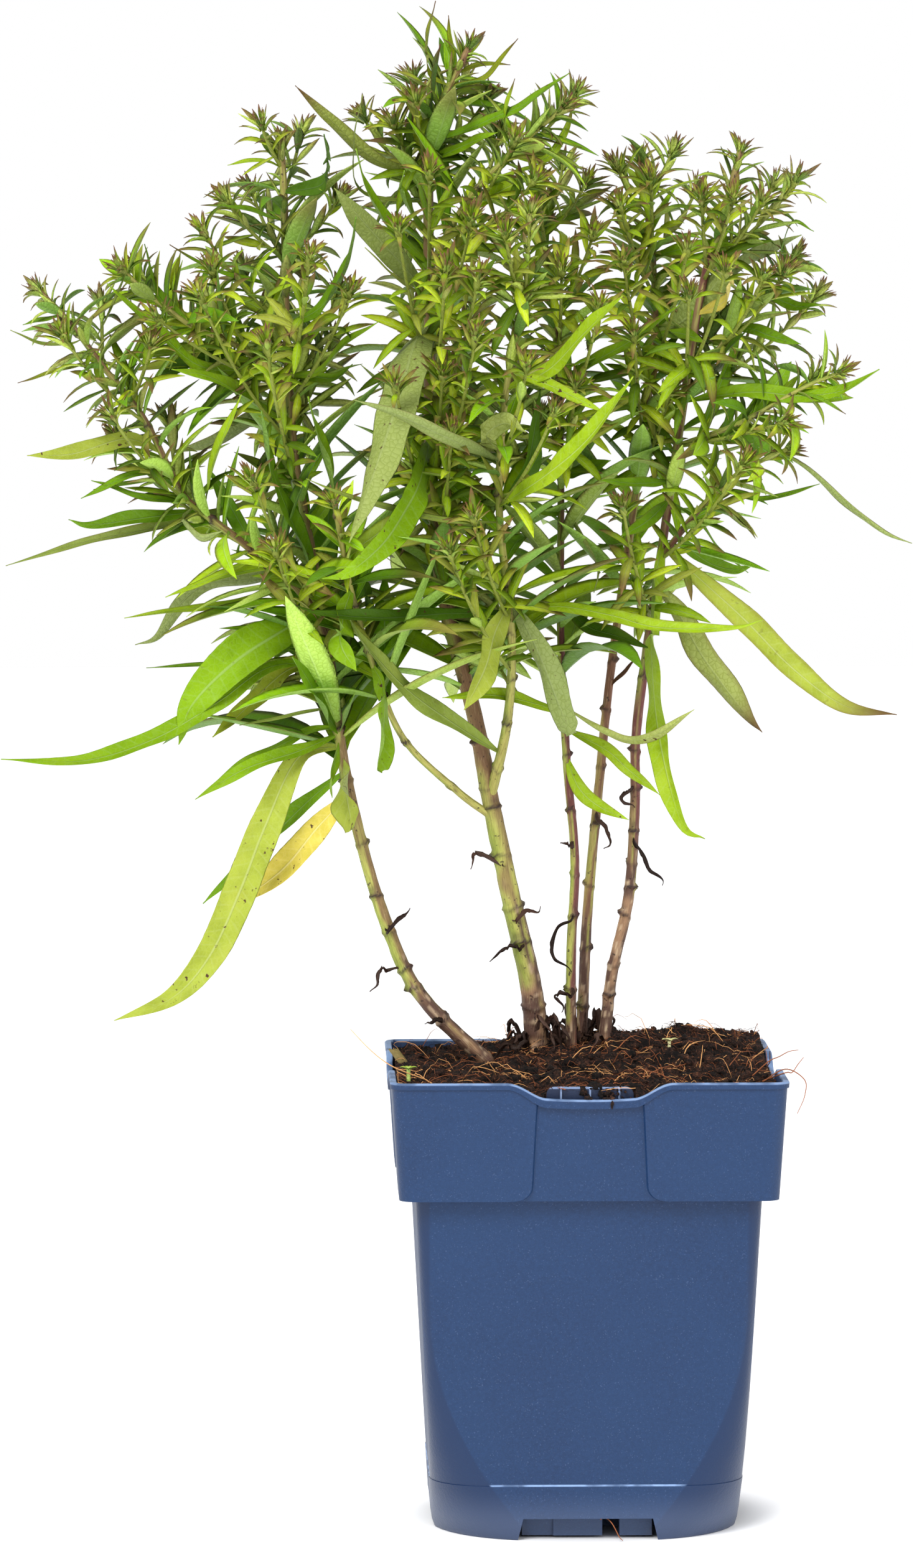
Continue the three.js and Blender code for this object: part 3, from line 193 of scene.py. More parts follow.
def linear(*colours):
    """Linear red, green and blue of several colours of a picture, one row for each."""
    return np.array([paint(*colour)[:3] for colour in colours])


def piece(name, points, faces, finish, layers=None, uv=None, slot=None, stands_for=()):
    """A smooth mesh from an array of places in millimetres and an array of faces with equal
    numbers of corners, with one value or colour for each place in every named layer."""
    mesh = bpy.data.meshes.new(name)
    mesh.vertices.add(len(points))
    mesh.vertices.foreach_set("co", (points * MM).astype(np.float32).ravel())
    mesh.loops.add(faces.size)
    mesh.loops.foreach_set("vertex_index", faces.astype(np.int32).ravel())
    mesh.polygons.add(len(faces))
    starts = np.arange(len(faces), dtype=np.int32) * faces.shape[1]
    mesh.polygons.foreach_set("loop_start", starts)
    mesh.update(calc_edges=True)
    mesh.shade_smooth()
    for key, values in (layers or {}).items():
        kind, field = ("FLOAT", "value") if values.ndim == 1 else ("FLOAT_COLOR", "color")
        layer = mesh.attributes.new(key, kind, "POINT")
        layer.data.foreach_set(field, values.astype(np.float32).ravel())
    if uv is not None:
        mesh.uv_layers.new(name="flat").data.foreach_set(
            "uv", uv[faces.ravel()].astype(np.float32).ravel())
    mesh.materials.append(finish.material)
    made = bpy.data.objects.new(name, mesh)
    bpy.context.scene.collection.objects.link(made)
    if slot:
        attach(made, "root")
        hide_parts(*stands_for)
    return made


# The floor glows from the pot's foot outwards, in metres from its middle, so that it stays as
# white as its surroundings.
GLOW_FROM, GLOW_FULL = 0.040, 0.062
floor_finish = Finish("white_floor", Roughness=0.6, Specular_IOR_Level=0.2,
                      Emission_Strength=0.62)
cloud = floor_finish.noise(floor_finish.place(), 3.0)
reach = floor_finish.node("VectorMath", {"operation": "LENGTH"}, {0: floor_finish.place()},
                          "Value")
glow = floor_finish.step(reach, GLOW_FROM, GLOW_FULL)
glow = floor_finish.mix(glow, (0, 0, 0, 1), (1, 1, 1, 1))
floor_finish.show(Base_Color=floor_finish.mix(cloud, paint(243, 243, 244), paint(250, 250, 250)),
                  Emission_Color=glow)
FLOOR_HALF = 4000
floor_corners = FLOOR_HALF * np.array([[-1, -1, 0], [1, -1, 0], [1, 1, 0], [-1, 1, 0]])
piece("floor", floor_corners, np.array([[0, 1, 2, 3]]), floor_finish)

# Pot
# One thin moulding of slate-blue plastic: a tapering body whose round corners widen towards
# the foot, under an overhanging collar with a beaded rim. The rim sinks in the middle of each
# side, over a recessed strip between two raised panels.
POT_HEIGHT = 129
RIM_HALF = 55
BEAD_PROUD = 0.5
COLLAR_BOTTOM = 96
COLLAR_FOOT_HALF = 52.4
COLLAR_CORNER = 4.5
BODY_TOP_HALF = 48.1
BASE_HALF = 43
WALL = 1.4
FLOOR_TOP = 8
FLOOR_UNDER = 6.4
EDGE_ROUND = 0.3
DIP_DEPTH = 4.6
DIP_SAG = 1.4
DIP_HALF = 23
DIP_FLAT_HALF = 12
LIP_THICKER = 1
LIP_SHARES = [0.8, 0.93, 0.955, 0.975]
STRIP_HALF_TOP = 14.5
STRIP_HALF_FOOT = 16
STRIP_CORNER = 4.5
PANEL_PROUD = 1.0
STRIP_HALF = 15.25
STRIP_EDGE = 0.6
FOLLOW_EDGE = [6, 14, 17, 32]
BEAD_FROM = 0.945
MOULD_LINE = 15.5
MOULD_STEP = 0.18
CORNER_HEIGHTS = [0, 6, 15.7, 25, 40, 58, 94]
CORNER_RADII = [31, 24, 16, 11, 6.6, 5, 4]
FLOOR_INSET, FLOOR_CORNER_INSET = 20, 14
INSIDE_ROWS = np.array([128.4, 126, 122, 116, 108, 100, 97.6, 96.6, 95.4, 90, 76, 58, 40, 25,
                        15.7, 12, 9, FLOOR_TOP, FLOOR_TOP])
RIB_PITCH, RIB_WIDTH, RIB_DEPTH = 8, 0.5, 1.2
POCKET_HALF, POCKET_GAP, POCKET_WALL, POCKET_FOOT = 12, 3.5, 1.2, 104
POCKET_CORNER, POCKET_TOP = 2.2, 127.6


def soft_step(value):
    """0 below 0, 1 above 1, with a smooth rise between."""
    share = np.clip(value, 0, 1)
    return share * share * (3 - 2 * share)


def square_rings(half, corner, along, turns):
    """Rounded squares, one for each half width, corner radius and row of places along a side.
    Each side runs through those places, as shares of its flat, then its corner through the
    angles in turns. Returns x, y and the place across the side, as rings by columns."""
    half, corner = half[:, None], corner[:, None]
    flat = half - corner
    across = np.hstack([flat * along, flat + corner * np.sin(turns)])
    out = np.hstack([half + 0 * along, flat + corner * np.cos(turns)])
    x = np.hstack([across, out, -across, -out])
    y = np.hstack([-out, across, out, -across])
    return x, y, np.hstack([across] * 4)


def ring_faces(rings, columns):
    """Triangles of rings joined into a tube, with a pole before the first ring and after the
    last. The poles are the two places that follow the rings."""
    ring, column = np.meshgrid(np.arange(rings - 1), np.arange(columns), indexing="ij")
    a = ring * columns + column
    b = ring * columns + (column + 1) % columns
    walls = np.stack([a, b, b + columns, a, b + columns, a + columns], -1).reshape(-1, 3)
    edge = np.arange(columns)
    after = (edge + 1) % columns
    last = (rings - 1) * columns
    start = np.stack([np.full(columns, rings * columns), after, edge], -1)
    end = np.stack([np.full(columns, rings * columns + 1), last + edge, last + after], -1)
    return np.vstack([walls, start, end])


def body_half(z):
    """Half width of the body: an even taper from its foot to the collar."""
    return BASE_HALF + (BODY_TOP_HALF - BASE_HALF) * np.minimum(z, COLLAR_BOTTOM) / COLLAR_BOTTOM


def body_corner(z):
    """The radius of the body's corners, even between the heights where it is stated."""
    return np.interp(z, CORNER_HEIGHTS, CORNER_RADII)


def collar_rise(z):
    """The share of the collar's height that lies below z."""
    return (z - COLLAR_BOTTOM) / (POT_HEIGHT - COLLAR_BOTTOM)


def collar_half(z):
    """Half width of the collar's panels: an even flare from its foot to the rim."""
    return COLLAR_FOOT_HALF + (RIM_HALF - BEAD_PROUD - COLLAR_FOOT_HALF) * collar_rise(z)


def pot_sections():
    """Rows of the section as height, half width, corner radius and kind. They run from the
    middle of the underside out to the foot, up the outside, over the rim and down the inside
    to the middle of the floor. Kind 1 is the collar's outside below the bead."""
    under = np.array([FLOOR_UNDER, FLOOR_UNDER, 2, 0.3, 0])
    under_half = body_half(under) - WALL + [-FLOOR_INSET, 0, 0, 0, EDGE_ROUND]
    under_corner = body_corner(under) - WALL - [FLOOR_CORNER_INSET, 0, 0, 0, 0]
    body = np.array([0, 0.3, 1.2, 3, 4.5, 6, 8, 10, 12, 13.5, 14.6, 15.2, 15.45, 15.55, 15.9, 16.6,
                     18, 20, 22, 25, 28, 32, 36, 41, 47, 53, 60, 68, 76, 84, 90, 93.5, 95.6, 96])
    inset = np.where(body > MOULD_LINE, MOULD_STEP, 0) + np.where(body == 0, EDGE_ROUND, 0)
    outer_half = body_half(body) - inset
    outer_corner = body_corner(body) - inset
    rise = np.concatenate([
        [0, 0, 0.01], np.linspace(0.025, 0.16, 12), np.linspace(0.2, 0.9, 16),
        [0.93, 0.9435, 0.9465, 0.955, 0.975, 0.99, 1, 1, 0.998]])
    collar = COLLAR_BOTTOM + (POT_HEIGHT - COLLAR_BOTTOM) * rise
    proud = np.where(rise > BEAD_FROM, BEAD_PROUD, 0)
    rim_round = np.concatenate([[-0.35], np.zeros(len(rise) - 4), [-0.4, -1.3, -1.7]])
    rim_half = collar_half(collar) + proud + rim_round
    rim_corner = COLLAR_CORNER + proud + rim_round
    inside = INSIDE_ROWS
    in_collar = inside > COLLAR_BOTTOM + 1
    inner_half = np.where(in_collar, collar_half(inside), body_half(inside)) - WALL
    inner_corner = np.where(in_collar, COLLAR_CORNER, body_corner(inside)) - WALL
    inner_half[-1] -= FLOOR_INSET
    inner_corner[-1] -= FLOOR_CORNER_INSET
    height = np.concatenate([under, body, collar, inside])
    half = np.concatenate([under_half, outer_half, rim_half, inner_half])
    corner = np.concatenate([under_corner, outer_corner, rim_corner, inner_corner])
    kind = np.concatenate([0 * under, 0 * body, rise < BEAD_FROM, 0 * inside])
    return height, half, corner, kind


def pot_shell():
    """The closed wall. The rim's rows sink by the dip, a smooth step of the place across its
    side and a parabola between the steps, which fade down the collar. The strip is pushed in
    between the panels, whose edge leans out and flares in a quarter circle at its foot. The
    columns near it follow that edge."""
    near = np.linspace(0, DIP_FLAT_HALF, 5)
    steep = np.linspace(DIP_FLAT_HALF, DIP_HALF, 16)
    edge = STRIP_HALF + STRIP_EDGE * np.linspace(-0.75, 0.75, 5)
    far = np.linspace(DIP_HALF, COLLAR_FOOT_HALF - COLLAR_CORNER, 5)
    columns = np.unique(np.concatenate([near, steep, edge, far]).round(4))
    columns = np.concatenate([-columns[:0:-1], columns])
    turns = np.linspace(0, math.pi / 2, 12)[1:-1]
    height, half, corner, kind = pot_sections()
    share = np.clip(collar_rise(height), 0, 1)
    fold = np.clip(1 - (height - COLLAR_BOTTOM) / STRIP_CORNER, 0, 1)
    edge = STRIP_HALF_FOOT + (STRIP_HALF_TOP - STRIP_HALF_FOOT) * share
    edge = (edge + STRIP_CORNER * (1 - np.sqrt(1 - fold ** 2)) - STRIP_HALF) * kind
    follow = np.interp(np.abs(columns), FOLLOW_EDGE, [0, 1, 1, 0]) * kind[:, None]
    flat_half = (half - corner)[:, None]
    even = columns / columns[-1]
    along = even + follow * ((columns + np.sign(columns) * edge[:, None]) / flat_half - even)
    x, y, across = square_rings(half, corner, along, turns)
    flat = np.tile(np.arange(x.shape[1] // 4) < len(columns), 4)
    z = np.repeat(height[:, None], x.shape[1], axis=1)
    share = np.repeat(share[:, None], x.shape[1], axis=1)
    step = soft_step((DIP_HALF - np.abs(across)) / (DIP_HALF - DIP_FLAT_HALF))
    sag = np.clip(1 - (across / DIP_HALF) ** 2, 0, 1)
    lip = LIP_THICKER * np.interp(share, LIP_SHARES, [0, 1, 1, 0])
    lip[-len(INSIDE_ROWS):] = 0
    z = z - ((DIP_DEPTH - DIP_SAG) * share + DIP_SAG * sag * share + lip) * step * flat
    column = np.tile(np.concatenate([columns, np.full(len(turns), columns[-1])]), 4)
    sunk = PANEL_PROUD * soft_step((STRIP_HALF - np.abs(column)) / STRIP_EDGE + 0.5)
    sunk = sunk * kind[:, None]
    length = np.maximum(np.abs(x), np.abs(y))
    shrink = 1 - sunk / length
    x = np.where(np.abs(x) == length, x * shrink, x)
    y = np.where(np.abs(y) == length, y * shrink, y)
    points = np.stack([x, y, z], -1).reshape(-1, 3)
    points = np.vstack([points, [[0, 0, FLOOR_UNDER], [0, 0, FLOOR_TOP]]])
    return points, ring_faces(len(height), x.shape[1])


def even_turns(count):
    """Angles that share out a full turn."""
    return 2 * math.pi * np.arange(count) / count


def prisms(outlines, low, high):
    """Closed prisms on outlines of equally many corners, given counterclockwise, between two
    levels or arrays of levels."""
    outlines = np.asarray(outlines, float)
    count, corners = outlines.shape[:2]
    levels = np.stack([np.broadcast_to(low, count), np.broadcast_to(high, count)], 1)
    rings = np.zeros((count, 2, corners, 3))
    rings[..., :2] = outlines[:, None]
    rings[..., 2] = levels[:, :, None]
    return closed_tubes(rings)


def facing_front(points, faces):
    """Prisms laid on their backs: the outline faces the front, the levels run towards it."""
    return points[:, [0, 2, 1]] * [1, -1, 1], faces


def closed_tubes(rings):
    """Joins rings of places into closed tubes, from an array of tubes by rings by places. Each
    end is closed to its own middle. Values after x, y and z go along with the places."""
    tubes, count, around, width = rings.shape
    ends = rings[:, [0, -1]].mean(axis=2)
    points = np.concatenate([rings.reshape(tubes, count * around, width), ends], axis=1)
    start = (count * around + 2) * np.arange(tubes)[:, None, None]
    return points.reshape(-1, width), (ring_faces(count, around) + start).reshape(-1, 3)


def boxes(rows):
    """Closed boxes from rows of middle x, middle y, width, depth, low and high."""
    x, y, width, depth, low, high = np.array(rows, float).T
    corner_x, corner_y = np.array([-1, 1, 1, -1]) / 2, np.array([-1, -1, 1, 1]) / 2
    outlines = np.stack([x[:, None] + width[:, None] * corner_x,
                         y[:, None] + depth[:, None] * corner_y], -1)
    return prisms(outlines, low, high)


def on_four_sides(points, faces):
    """The mesh and its copies turned to the other three sides of the pot."""
    copies = [points]
    for _ in range(3):
        copies.append(copies[-1][:, [1, 0, 2]] * [-1, 1, 1])
    step = len(points) * np.arange(4)[:, None, None]
    return np.vstack(copies), (faces + step).reshape(-1, 3)


def cut(whole, points, faces, operation):
    """Joins closed solids to a piece, or cuts them out of it, and keeps its material."""
    tool = piece("tool", points, faces, pot_finish)
    step = whole.modifiers.new("cut", "BOOLEAN")
    step.operation = operation
    step.solver = "MANIFOLD"
    step.object = tool
    bpy.context.view_layer.update()
    shaped = bpy.data.meshes.new_from_object(
        whole.evaluated_get(bpy.context.evaluated_depsgraph_get()))
    whole.modifiers.remove(step)
    whole.data = shaped
    bpy.data.objects.remove(tool)


def pot_plastic():
    """Satin polypropylene: slate blue with a fine grain and pale specks. The corners, where the
    smaller of |x| and |y| passes 44 - 29 (1 - z / 66)^2 mm, are smooth and painted deeper blue
    as painted shade for their darker reflection. A painted highlight runs along the flat sides
    at the mould's line above the foot, which is dusty, and another along the top of the rim,
    whose height is z plus the dip. The pocket's face, y from -52.4 to -50 mm, is painted dark
    above 112 mm as painted shade; its ribs, where x folded to half their pitch is small, and
    its top edge are pale, as painted highlights."""
    finish = Finish("slate_plastic", Specular_IOR_Level=0.36)
    mix, step, noise = finish.mix, finish.step, finish.noise
    place = finish.place()
    grain = noise(place, 1100, 4, 0.7)
    cloud = noise(place, 20, 4, 0.55)
    speck = step(noise(place, 2600, 1, 0.5), 0.66, 0.76)
    x, y, z = [finish.node("SeparateXYZ", None, {"Vector": place}, k) * 1000 for k in range(3)]
    wide, deep = finish.maths("ABSOLUTE", x), finish.maths("ABSOLUTE", y)
    low = finish.maths("MAXIMUM", 1 - z / 66, 0)
    along_side = finish.maths("MINIMUM", wide, deep)
    beyond = along_side - (44 - 29 * low * low)
    corner = step(beyond, -0.5, 0.5) * step(z, COLLAR_BOTTOM, COLLAR_BOTTOM - 0.5)
    dark, pale = (0.0012, 0.0185, 0.069, 1), (0.003, 0.025, 0.084, 1)
    colour = mix(step(cloud, 0.3, 0.7), dark, pale)
    fine = noise(place, 3200, 2, 0.6)
    colour = mix(step(grain, 0.35, 0.7) * 0.45 + step(fine, 0.35, 0.65) * 0.3, colour,
                 (0.0065, 0.0345, 0.112, 1))
    colour = mix(speck * 0.15, colour, paint(130, 150, 190))
    # Painted shade: the smooth corners are painted deeper blue, standing in for their darker
    # reflection.
    colour = mix(corner * 0.85, colour, (0.0006, 0.0165, 0.066, 1))
    # A painted highlight along the mould line's step on the flat sides, broken up in places.
    line = step(z, MOULD_LINE - 0.3, MOULD_LINE) * step(z, MOULD_LINE + 0.45, MOULD_LINE + 0.15)
    line = line * step(beyond, 0.5, -0.5)
    highlight_breaks = step(noise(place, 150, 2, 0.6), 0.36, 0.56)
    colour = mix(line * (0.25 + 0.6 * highlight_breaks), colour, paint(150, 180, 225))
    # Painted shade: the pocket's face inside the pot is painted dark; its ribs and top edge are
    # painted highlights.
    across_rib = finish.maths("PINGPONG", x, RIB_PITCH / 2)
    rib = step(across_rib, 0.34, 0.2) + step(z, POCKET_TOP - 0.6, POCKET_TOP - 0.4)
    pocket = step(wide, POCKET_HALF + 0.2, POCKET_HALF) * step(y, -50, -50.2)
    pocket = pocket * step(y, -52.4, -52.2)
    pocket = pocket * step(z, 112, 114)
    colour = mix(pocket * 0.75, colour, paint(20, 28, 52))
    colour = mix(pocket * rib * 0.55, colour, paint(150, 172, 212))
    colour = mix(step(z, 15, 3) * 0.22, colour, paint(112, 124, 150))
    # A painted highlight along the top of the rim and its dips, broken up in places.
    sag = DIP_SAG * (1 - along_side * along_side / DIP_HALF ** 2)
    rim = z + (DIP_DEPTH - DIP_SAG + sag) * step(along_side, DIP_HALF, DIP_FLAT_HALF)
    rim_highlight = step(rim, POT_HEIGHT - 0.7, POT_HEIGHT - 0.25) * (0.3 + 0.5 * highlight_breaks)
    rim_highlight = rim_highlight * step(finish.maths("MAXIMUM", wide, deep), 52.3, 52.7)
    colour = mix(rim_highlight, colour, paint(132, 158, 200))
    finish.show(Base_Color=colour, Roughness=0.42 + 0.16 * cloud - 0.14 * corner)
    finish.relief(grain, 0.00012)
    return finish


pot_finish = pot_plastic()
shell = piece("pot_shell", *pot_shell(), pot_finish)
# A notch in each side of the foot
NOTCH_HALF_FOOT, NOTCH_HALF_TOP, NOTCH_HEIGHT, THROUGH_WALL = 19.4, 18.0, 6.2, 6
notch = [[(-NOTCH_HALF_FOOT - 0.3, -1), (NOTCH_HALF_FOOT + 0.3, -1),
          (NOTCH_HALF_TOP, NOTCH_HEIGHT), (-NOTCH_HALF_TOP, NOTCH_HEIGHT)]]
notches = facing_front(*prisms(notch, BASE_HALF - THROUGH_WALL, BASE_HALF + THROUGH_WALL))
cut(shell, *on_four_sides(*notches), "DIFFERENCE")

# A raised panel under the middle of the floor, and on each side the ends of three plates
PLINTH_HALF, PLATE_DEPTH, PLATE_UNDER, IN_FLOOR = 20, 6, 0.7, FLOOR_TOP - 0.5
plinth = boxes([(0, 0, 2 * PLINTH_HALF, 2 * PLINTH_HALF, 0, IN_FLOOR)])
cut(shell, *plinth, "UNION")
plates = boxes([(x, y, width, PLATE_DEPTH, PLATE_UNDER, IN_FLOOR)
                for x, y, width in [(-13.7, -34.7, 9), (-2.7, -35.5, 13.6), (13.4, -35.5, 9)]])
cut(shell, *on_four_sides(*plates), "UNION")
# Holes for water: four at the sides of the floor and four at its corners
HOLE_RADIUS, HOLE_REACH, CORNER_HOLE, THROUGH_FLOOR = 4.5, 25.5, 21, 4
turn = even_turns(24)
hole = HOLE_RADIUS * np.stack([np.cos(turn), np.sin(turn)], -1)
holes = prisms([hole + [0, -HOLE_REACH], hole + CORNER_HOLE],
               FLOOR_TOP - THROUGH_FLOOR, FLOOR_TOP + THROUGH_FLOOR)
cut(shell, *on_four_sides(*holes), "DIFFERENCE")

# The label pocket stands behind the front dip, open at its top, with three ribs on its face.
front = -RIM_HALF + POCKET_GAP
arc = np.linspace(0, math.pi / 2, 7)
right = np.stack([POCKET_HALF - POCKET_CORNER + POCKET_CORNER * np.sin(arc),
                  POCKET_TOP - POCKET_CORNER + POCKET_CORNER * np.cos(arc)], -1)[::-1]
left = right[::-1] * [-1, 1]
panel = np.vstack([[(-POCKET_HALF, POCKET_FOOT), (POCKET_HALF, POCKET_FOOT)], right, left])
wall_inside = -(collar_half(POCKET_FOOT) - (WALL + PANEL_PROUD) / 2)
deep = front + POCKET_WALL - wall_inside
middle = wall_inside + deep / 2
side = POCKET_HALF - POCKET_WALL / 2
pocket = boxes([
    *((x, middle, POCKET_WALL, deep, POCKET_FOOT, POT_HEIGHT - DIP_DEPTH) for x in (-side, side)),
    (0, middle, 2 * POCKET_HALF, deep, POCKET_FOOT, POCKET_FOOT + POCKET_WALL)])
cut(shell, *facing_front(*prisms([panel], -front - POCKET_WALL, -front)), "UNION")
cut(shell, *pocket, "UNION")
ribs = boxes([(x, front, RIB_WIDTH, RIB_DEPTH, POCKET_FOOT + 0.4, POCKET_TOP - 1)
              for x in (-RIB_PITCH, 0, RIB_PITCH)])
cut(shell, *ribs, "UNION")
shell.data.shade_smooth()
shell.data.set_sharp_from_angle(angle=math.radians(32))
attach(shell, "root")
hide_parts("pot")

# Compost
# Moist dark peat filled nearly to the rim, heaped towards the right and the back, with
# crumbs and short orange and straw-coloured fibres in it.
SOIL_LEVEL = 126.2
SOIL_HALF = 52.55
SOIL_CORNER = 3.2
SOIL_CELLS = 150
SKIRT_HEIGHTS = [114, 98.5, 94.5, 58, 25, 12, 8.6]


def soil_height(x, y):
    """The packed soil's height: a level, a bell-shaped mound at the back, a soft rise to the
    right back corner and low clods from two sines."""
    mound = 5.6 * np.exp(-((x - 6) / 34) ** 2 - ((y - 30) / 26) ** 2)
    rise = 4.5 * soft_step(x / 45) * soft_step(y / 40)
    return SOIL_LEVEL + mound + rise + 0.6 * np.sin(0.31 * x + 1.3) * np.sin(0.27 * y - 0.4)


def lumps(x, y, size, seed):
    """Value noise: a table of random heights on a grid of that size, blended with soft steps."""
    table = np.random.default_rng(seed).random((256, 256)) - 0.5
    u, v = x / size + 100, y / size + 100
    i, j = np.floor(u).astype(int), np.floor(v).astype(int)
    a, b = soft_step(u - i), soft_step(v - j)
    low = table[i % 256, j % 256] * (1 - a) + table[(i + 1) % 256, j % 256] * a
    high = table[i % 256, (j + 1) % 256] * (1 - a) + table[(i + 1) % 256, (j + 1) % 256] * a
    return low * (1 - b) + high * b


def crumbly(x, y):
    """The soil's height with crumbs of three sizes, flattened towards the pot's wall."""
    rough = 3.2 * lumps(x, y, 8, 1) + 2.6 * lumps(x, y, 2.8, 2) + 1.6 * lumps(x, y, 1.1, 3)
    edge = np.maximum(np.abs(x), np.abs(y))
    return soil_height(x, y) + rough * (0.3 + 0.7 * soft_step((SOIL_HALF - edge) / 6))


def in_pocket(x, y):
    """True over the label pocket, where there is no peat."""
    return (np.abs(x) < POCKET_HALF + 0.4) & (y < -RIM_HALF + POCKET_GAP + POCKET_WALL + 0.4)


def rounded(x, y, half, corner):
    """Places of a square pulled in where they lie outside its round corners."""
    flat = half - corner
    over_x, over_y = np.maximum(np.abs(x) - flat, 0), np.maximum(np.abs(y) - flat, 0)
    beyond = np.maximum(np.hypot(over_x, over_y) / corner, 1)
    return (np.sign(x) * (np.minimum(np.abs(x), flat) + over_x / beyond),
            np.sign(y) * (np.minimum(np.abs(y), flat) + over_y / beyond))


def soil_lump():
    """A square grid of heights, with a skirt that narrows inside the pot to its floor."""
    line = np.linspace(-SOIL_HALF, SOIL_HALF, SOIL_CELLS + 1)
    x, y = rounded(*np.meshgrid(line, line, indexing="ij"), SOIL_HALF, SOIL_CORNER)
    height = np.where(in_pocket(x, y), POCKET_FOOT - 1, crumbly(x, y))
    y = np.where(in_pocket(x, y), np.maximum(y, -collar_half(POCKET_FOOT) + WALL + 0.3), y)
    top = np.stack([x, y, height], -1)
    index = np.arange(top.shape[0] ** 2).reshape(top.shape[:2])
    a, b, c, d = index[:-1, :-1], index[1:, :-1], index[1:, 1:], index[:-1, 1:]
    faces = [np.stack([a, b, c, a, c, d], -1).reshape(-1, 3)]
    rim = np.concatenate([index[:-1, 0], index[-1, :-1], index[:0:-1, -1], index[0, :0:-1]])
    edge = top.reshape(-1, 3)[rim]
    points = [top.reshape(-1, 3)]
    before = rim
    count = len(points[0])
    for z in SKIRT_HEIGHTS:
        wide = (collar_half(z) if z > COLLAR_BOTTOM else body_half(z)) - WALL - 0.5
        corner = max(body_corner(z) - WALL, SOIL_CORNER)
        x, y = rounded(edge[:, 0] * wide / SOIL_HALF, edge[:, 1] * wide / SOIL_HALF, wide, corner)
        points.append(np.stack([x, y, np.minimum(z, edge[:, 2] - 1)], -1))
        ring = count + np.arange(len(rim))
        faces.append(np.stack([before, ring, np.roll(ring, -1), before, np.roll(ring, -1),
                               np.roll(before, -1)], -1).reshape(-1, 3))
        before, count = ring, count + len(rim)
    points.append([[0, 0, SKIRT_HEIGHTS[-1]]])
    faces.append(np.stack([before, np.full(len(rim), count), np.roll(before, -1)], -1))
    return np.vstack(points), np.vstack(faces)


def peat():
    """Moist peat whose colour follows its relief: painted nearly black in its hollows as painted
    shade, brown and orange-brown on its crumbs.
    """
    finish = Finish("peat", Roughness=0.9, Specular_IOR_Level=0.25)
    place = finish.place()
    coarse = finish.noise(place, 230, 5, 0.65)
    fine = finish.noise(place, 1500, 4, 0.7)
    # Painted shade: the noise that raises the relief also colours it, so the hollows are painted
    # nearly black.
    colour = finish.node("ValToRGB", {"stops": [
        (0.40, paint(5, 4, 4)), (0.50, paint(28, 18, 15)), (0.59, paint(76, 48, 36)),
        (0.70, paint(156, 102, 70))]}, {"Fac": 0.5 * coarse + 0.5 * fine})
    finish.show(Base_Color=colour)
    finish.relief(fine + coarse, 0.0009)
    return finish


peat_finish = peat()
piece("compost_lump", *soil_lump(), peat_finish, slot="compost", stands_for=["compost"])


def circle(first, second, count):
    """Unit vectors at even turns from a first of two crossed unit vectors to the second."""
    turn = even_turns(count)[:, None]
    return np.cos(turn) * first[..., None, :] + np.sin(turn) * second[..., None, :]


def fibre_tubes(x, y, heading, length, lift, radius, bend, curly):
    """Thin closed tubes of seven three-sided rings. Each starts at x, y, turns from its heading
    by its bend and a curly wobble that adds up, follows the crumbs and rises above them by its
    lift times a half sine."""
    share = np.linspace(0, 1, 7)
    wobble = np.cumsum(chance.normal(0, 1, (len(x), 7)) * curly[:, None], axis=1)
    turn = heading[:, None] + bend[:, None] * share + wobble
    step = length[:, None] / 6
    px = x[:, None] + np.cumsum(np.cos(turn) * step, axis=1)
    py = y[:, None] + np.cumsum(np.sin(turn) * step, axis=1)
    inside_x, inside_y = np.clip(px, -SOIL_HALF, SOIL_HALF), np.clip(py, -SOIL_HALF, SOIL_HALF)
    ground = 0.6 * crumbly(inside_x, inside_y) + 0.4 * soil_height(inside_x, inside_y)
    pz = ground + 0.5 + lift[:, None] * np.sin(share * 2.2)
    mid = np.stack([inside_x, inside_y, pz], -1)
    along = unit(np.gradient(mid, axis=1))
    side = unit(np.cross(along, [0, 0, 1]) + 1e-6)
    up = np.cross(side, along)
    thin = radius[:, None] * (1 - 0.7 * share ** 2)
    return mid[:, :, None] + thin[:, :, None, None] * circle(side, up, 3)


def unit(vectors):
    """Each vector divided by its own length."""
    return vectors / np.linalg.norm(vectors, axis=-1, keepdims=True)


def tinted(rings, colours):
    """Adds each tube's colour to its places."""
    spread = np.broadcast_to(colours[:, None, None], (*rings.shape[:3], 3))
    return np.concatenate([rings, spread], -1)


def coloured(values):
    """Red, green and blue with a full fourth channel, as a colour layer takes them."""
    return np.hstack([values, np.ones((len(values), 1))])


def fibre_stuff():
    """Dry fibre: its own colour, darkened in patches by up to a half."""
    finish = Finish("dry_fibre", Roughness=0.85, Specular_IOR_Level=0.2)
    tint = finish.layer("tint", "Color")
    finish.show(Base_Color=finish.mix(finish.noise(finish.place(), 900) * 0.5, tint,
                                      paint(50, 36, 30)))
    return finish


fibre_finish = fibre_stuff()


def fibre_piece(name, rings):
    """A piece of fibres from their rings, whose last three values are their colour."""
    points, faces = closed_tubes(rings)
    piece(name, points[:, :3], faces, fibre_finish, {"tint": coloured(points[:, 3:])},
          slot="compost", stands_for=["compost"])


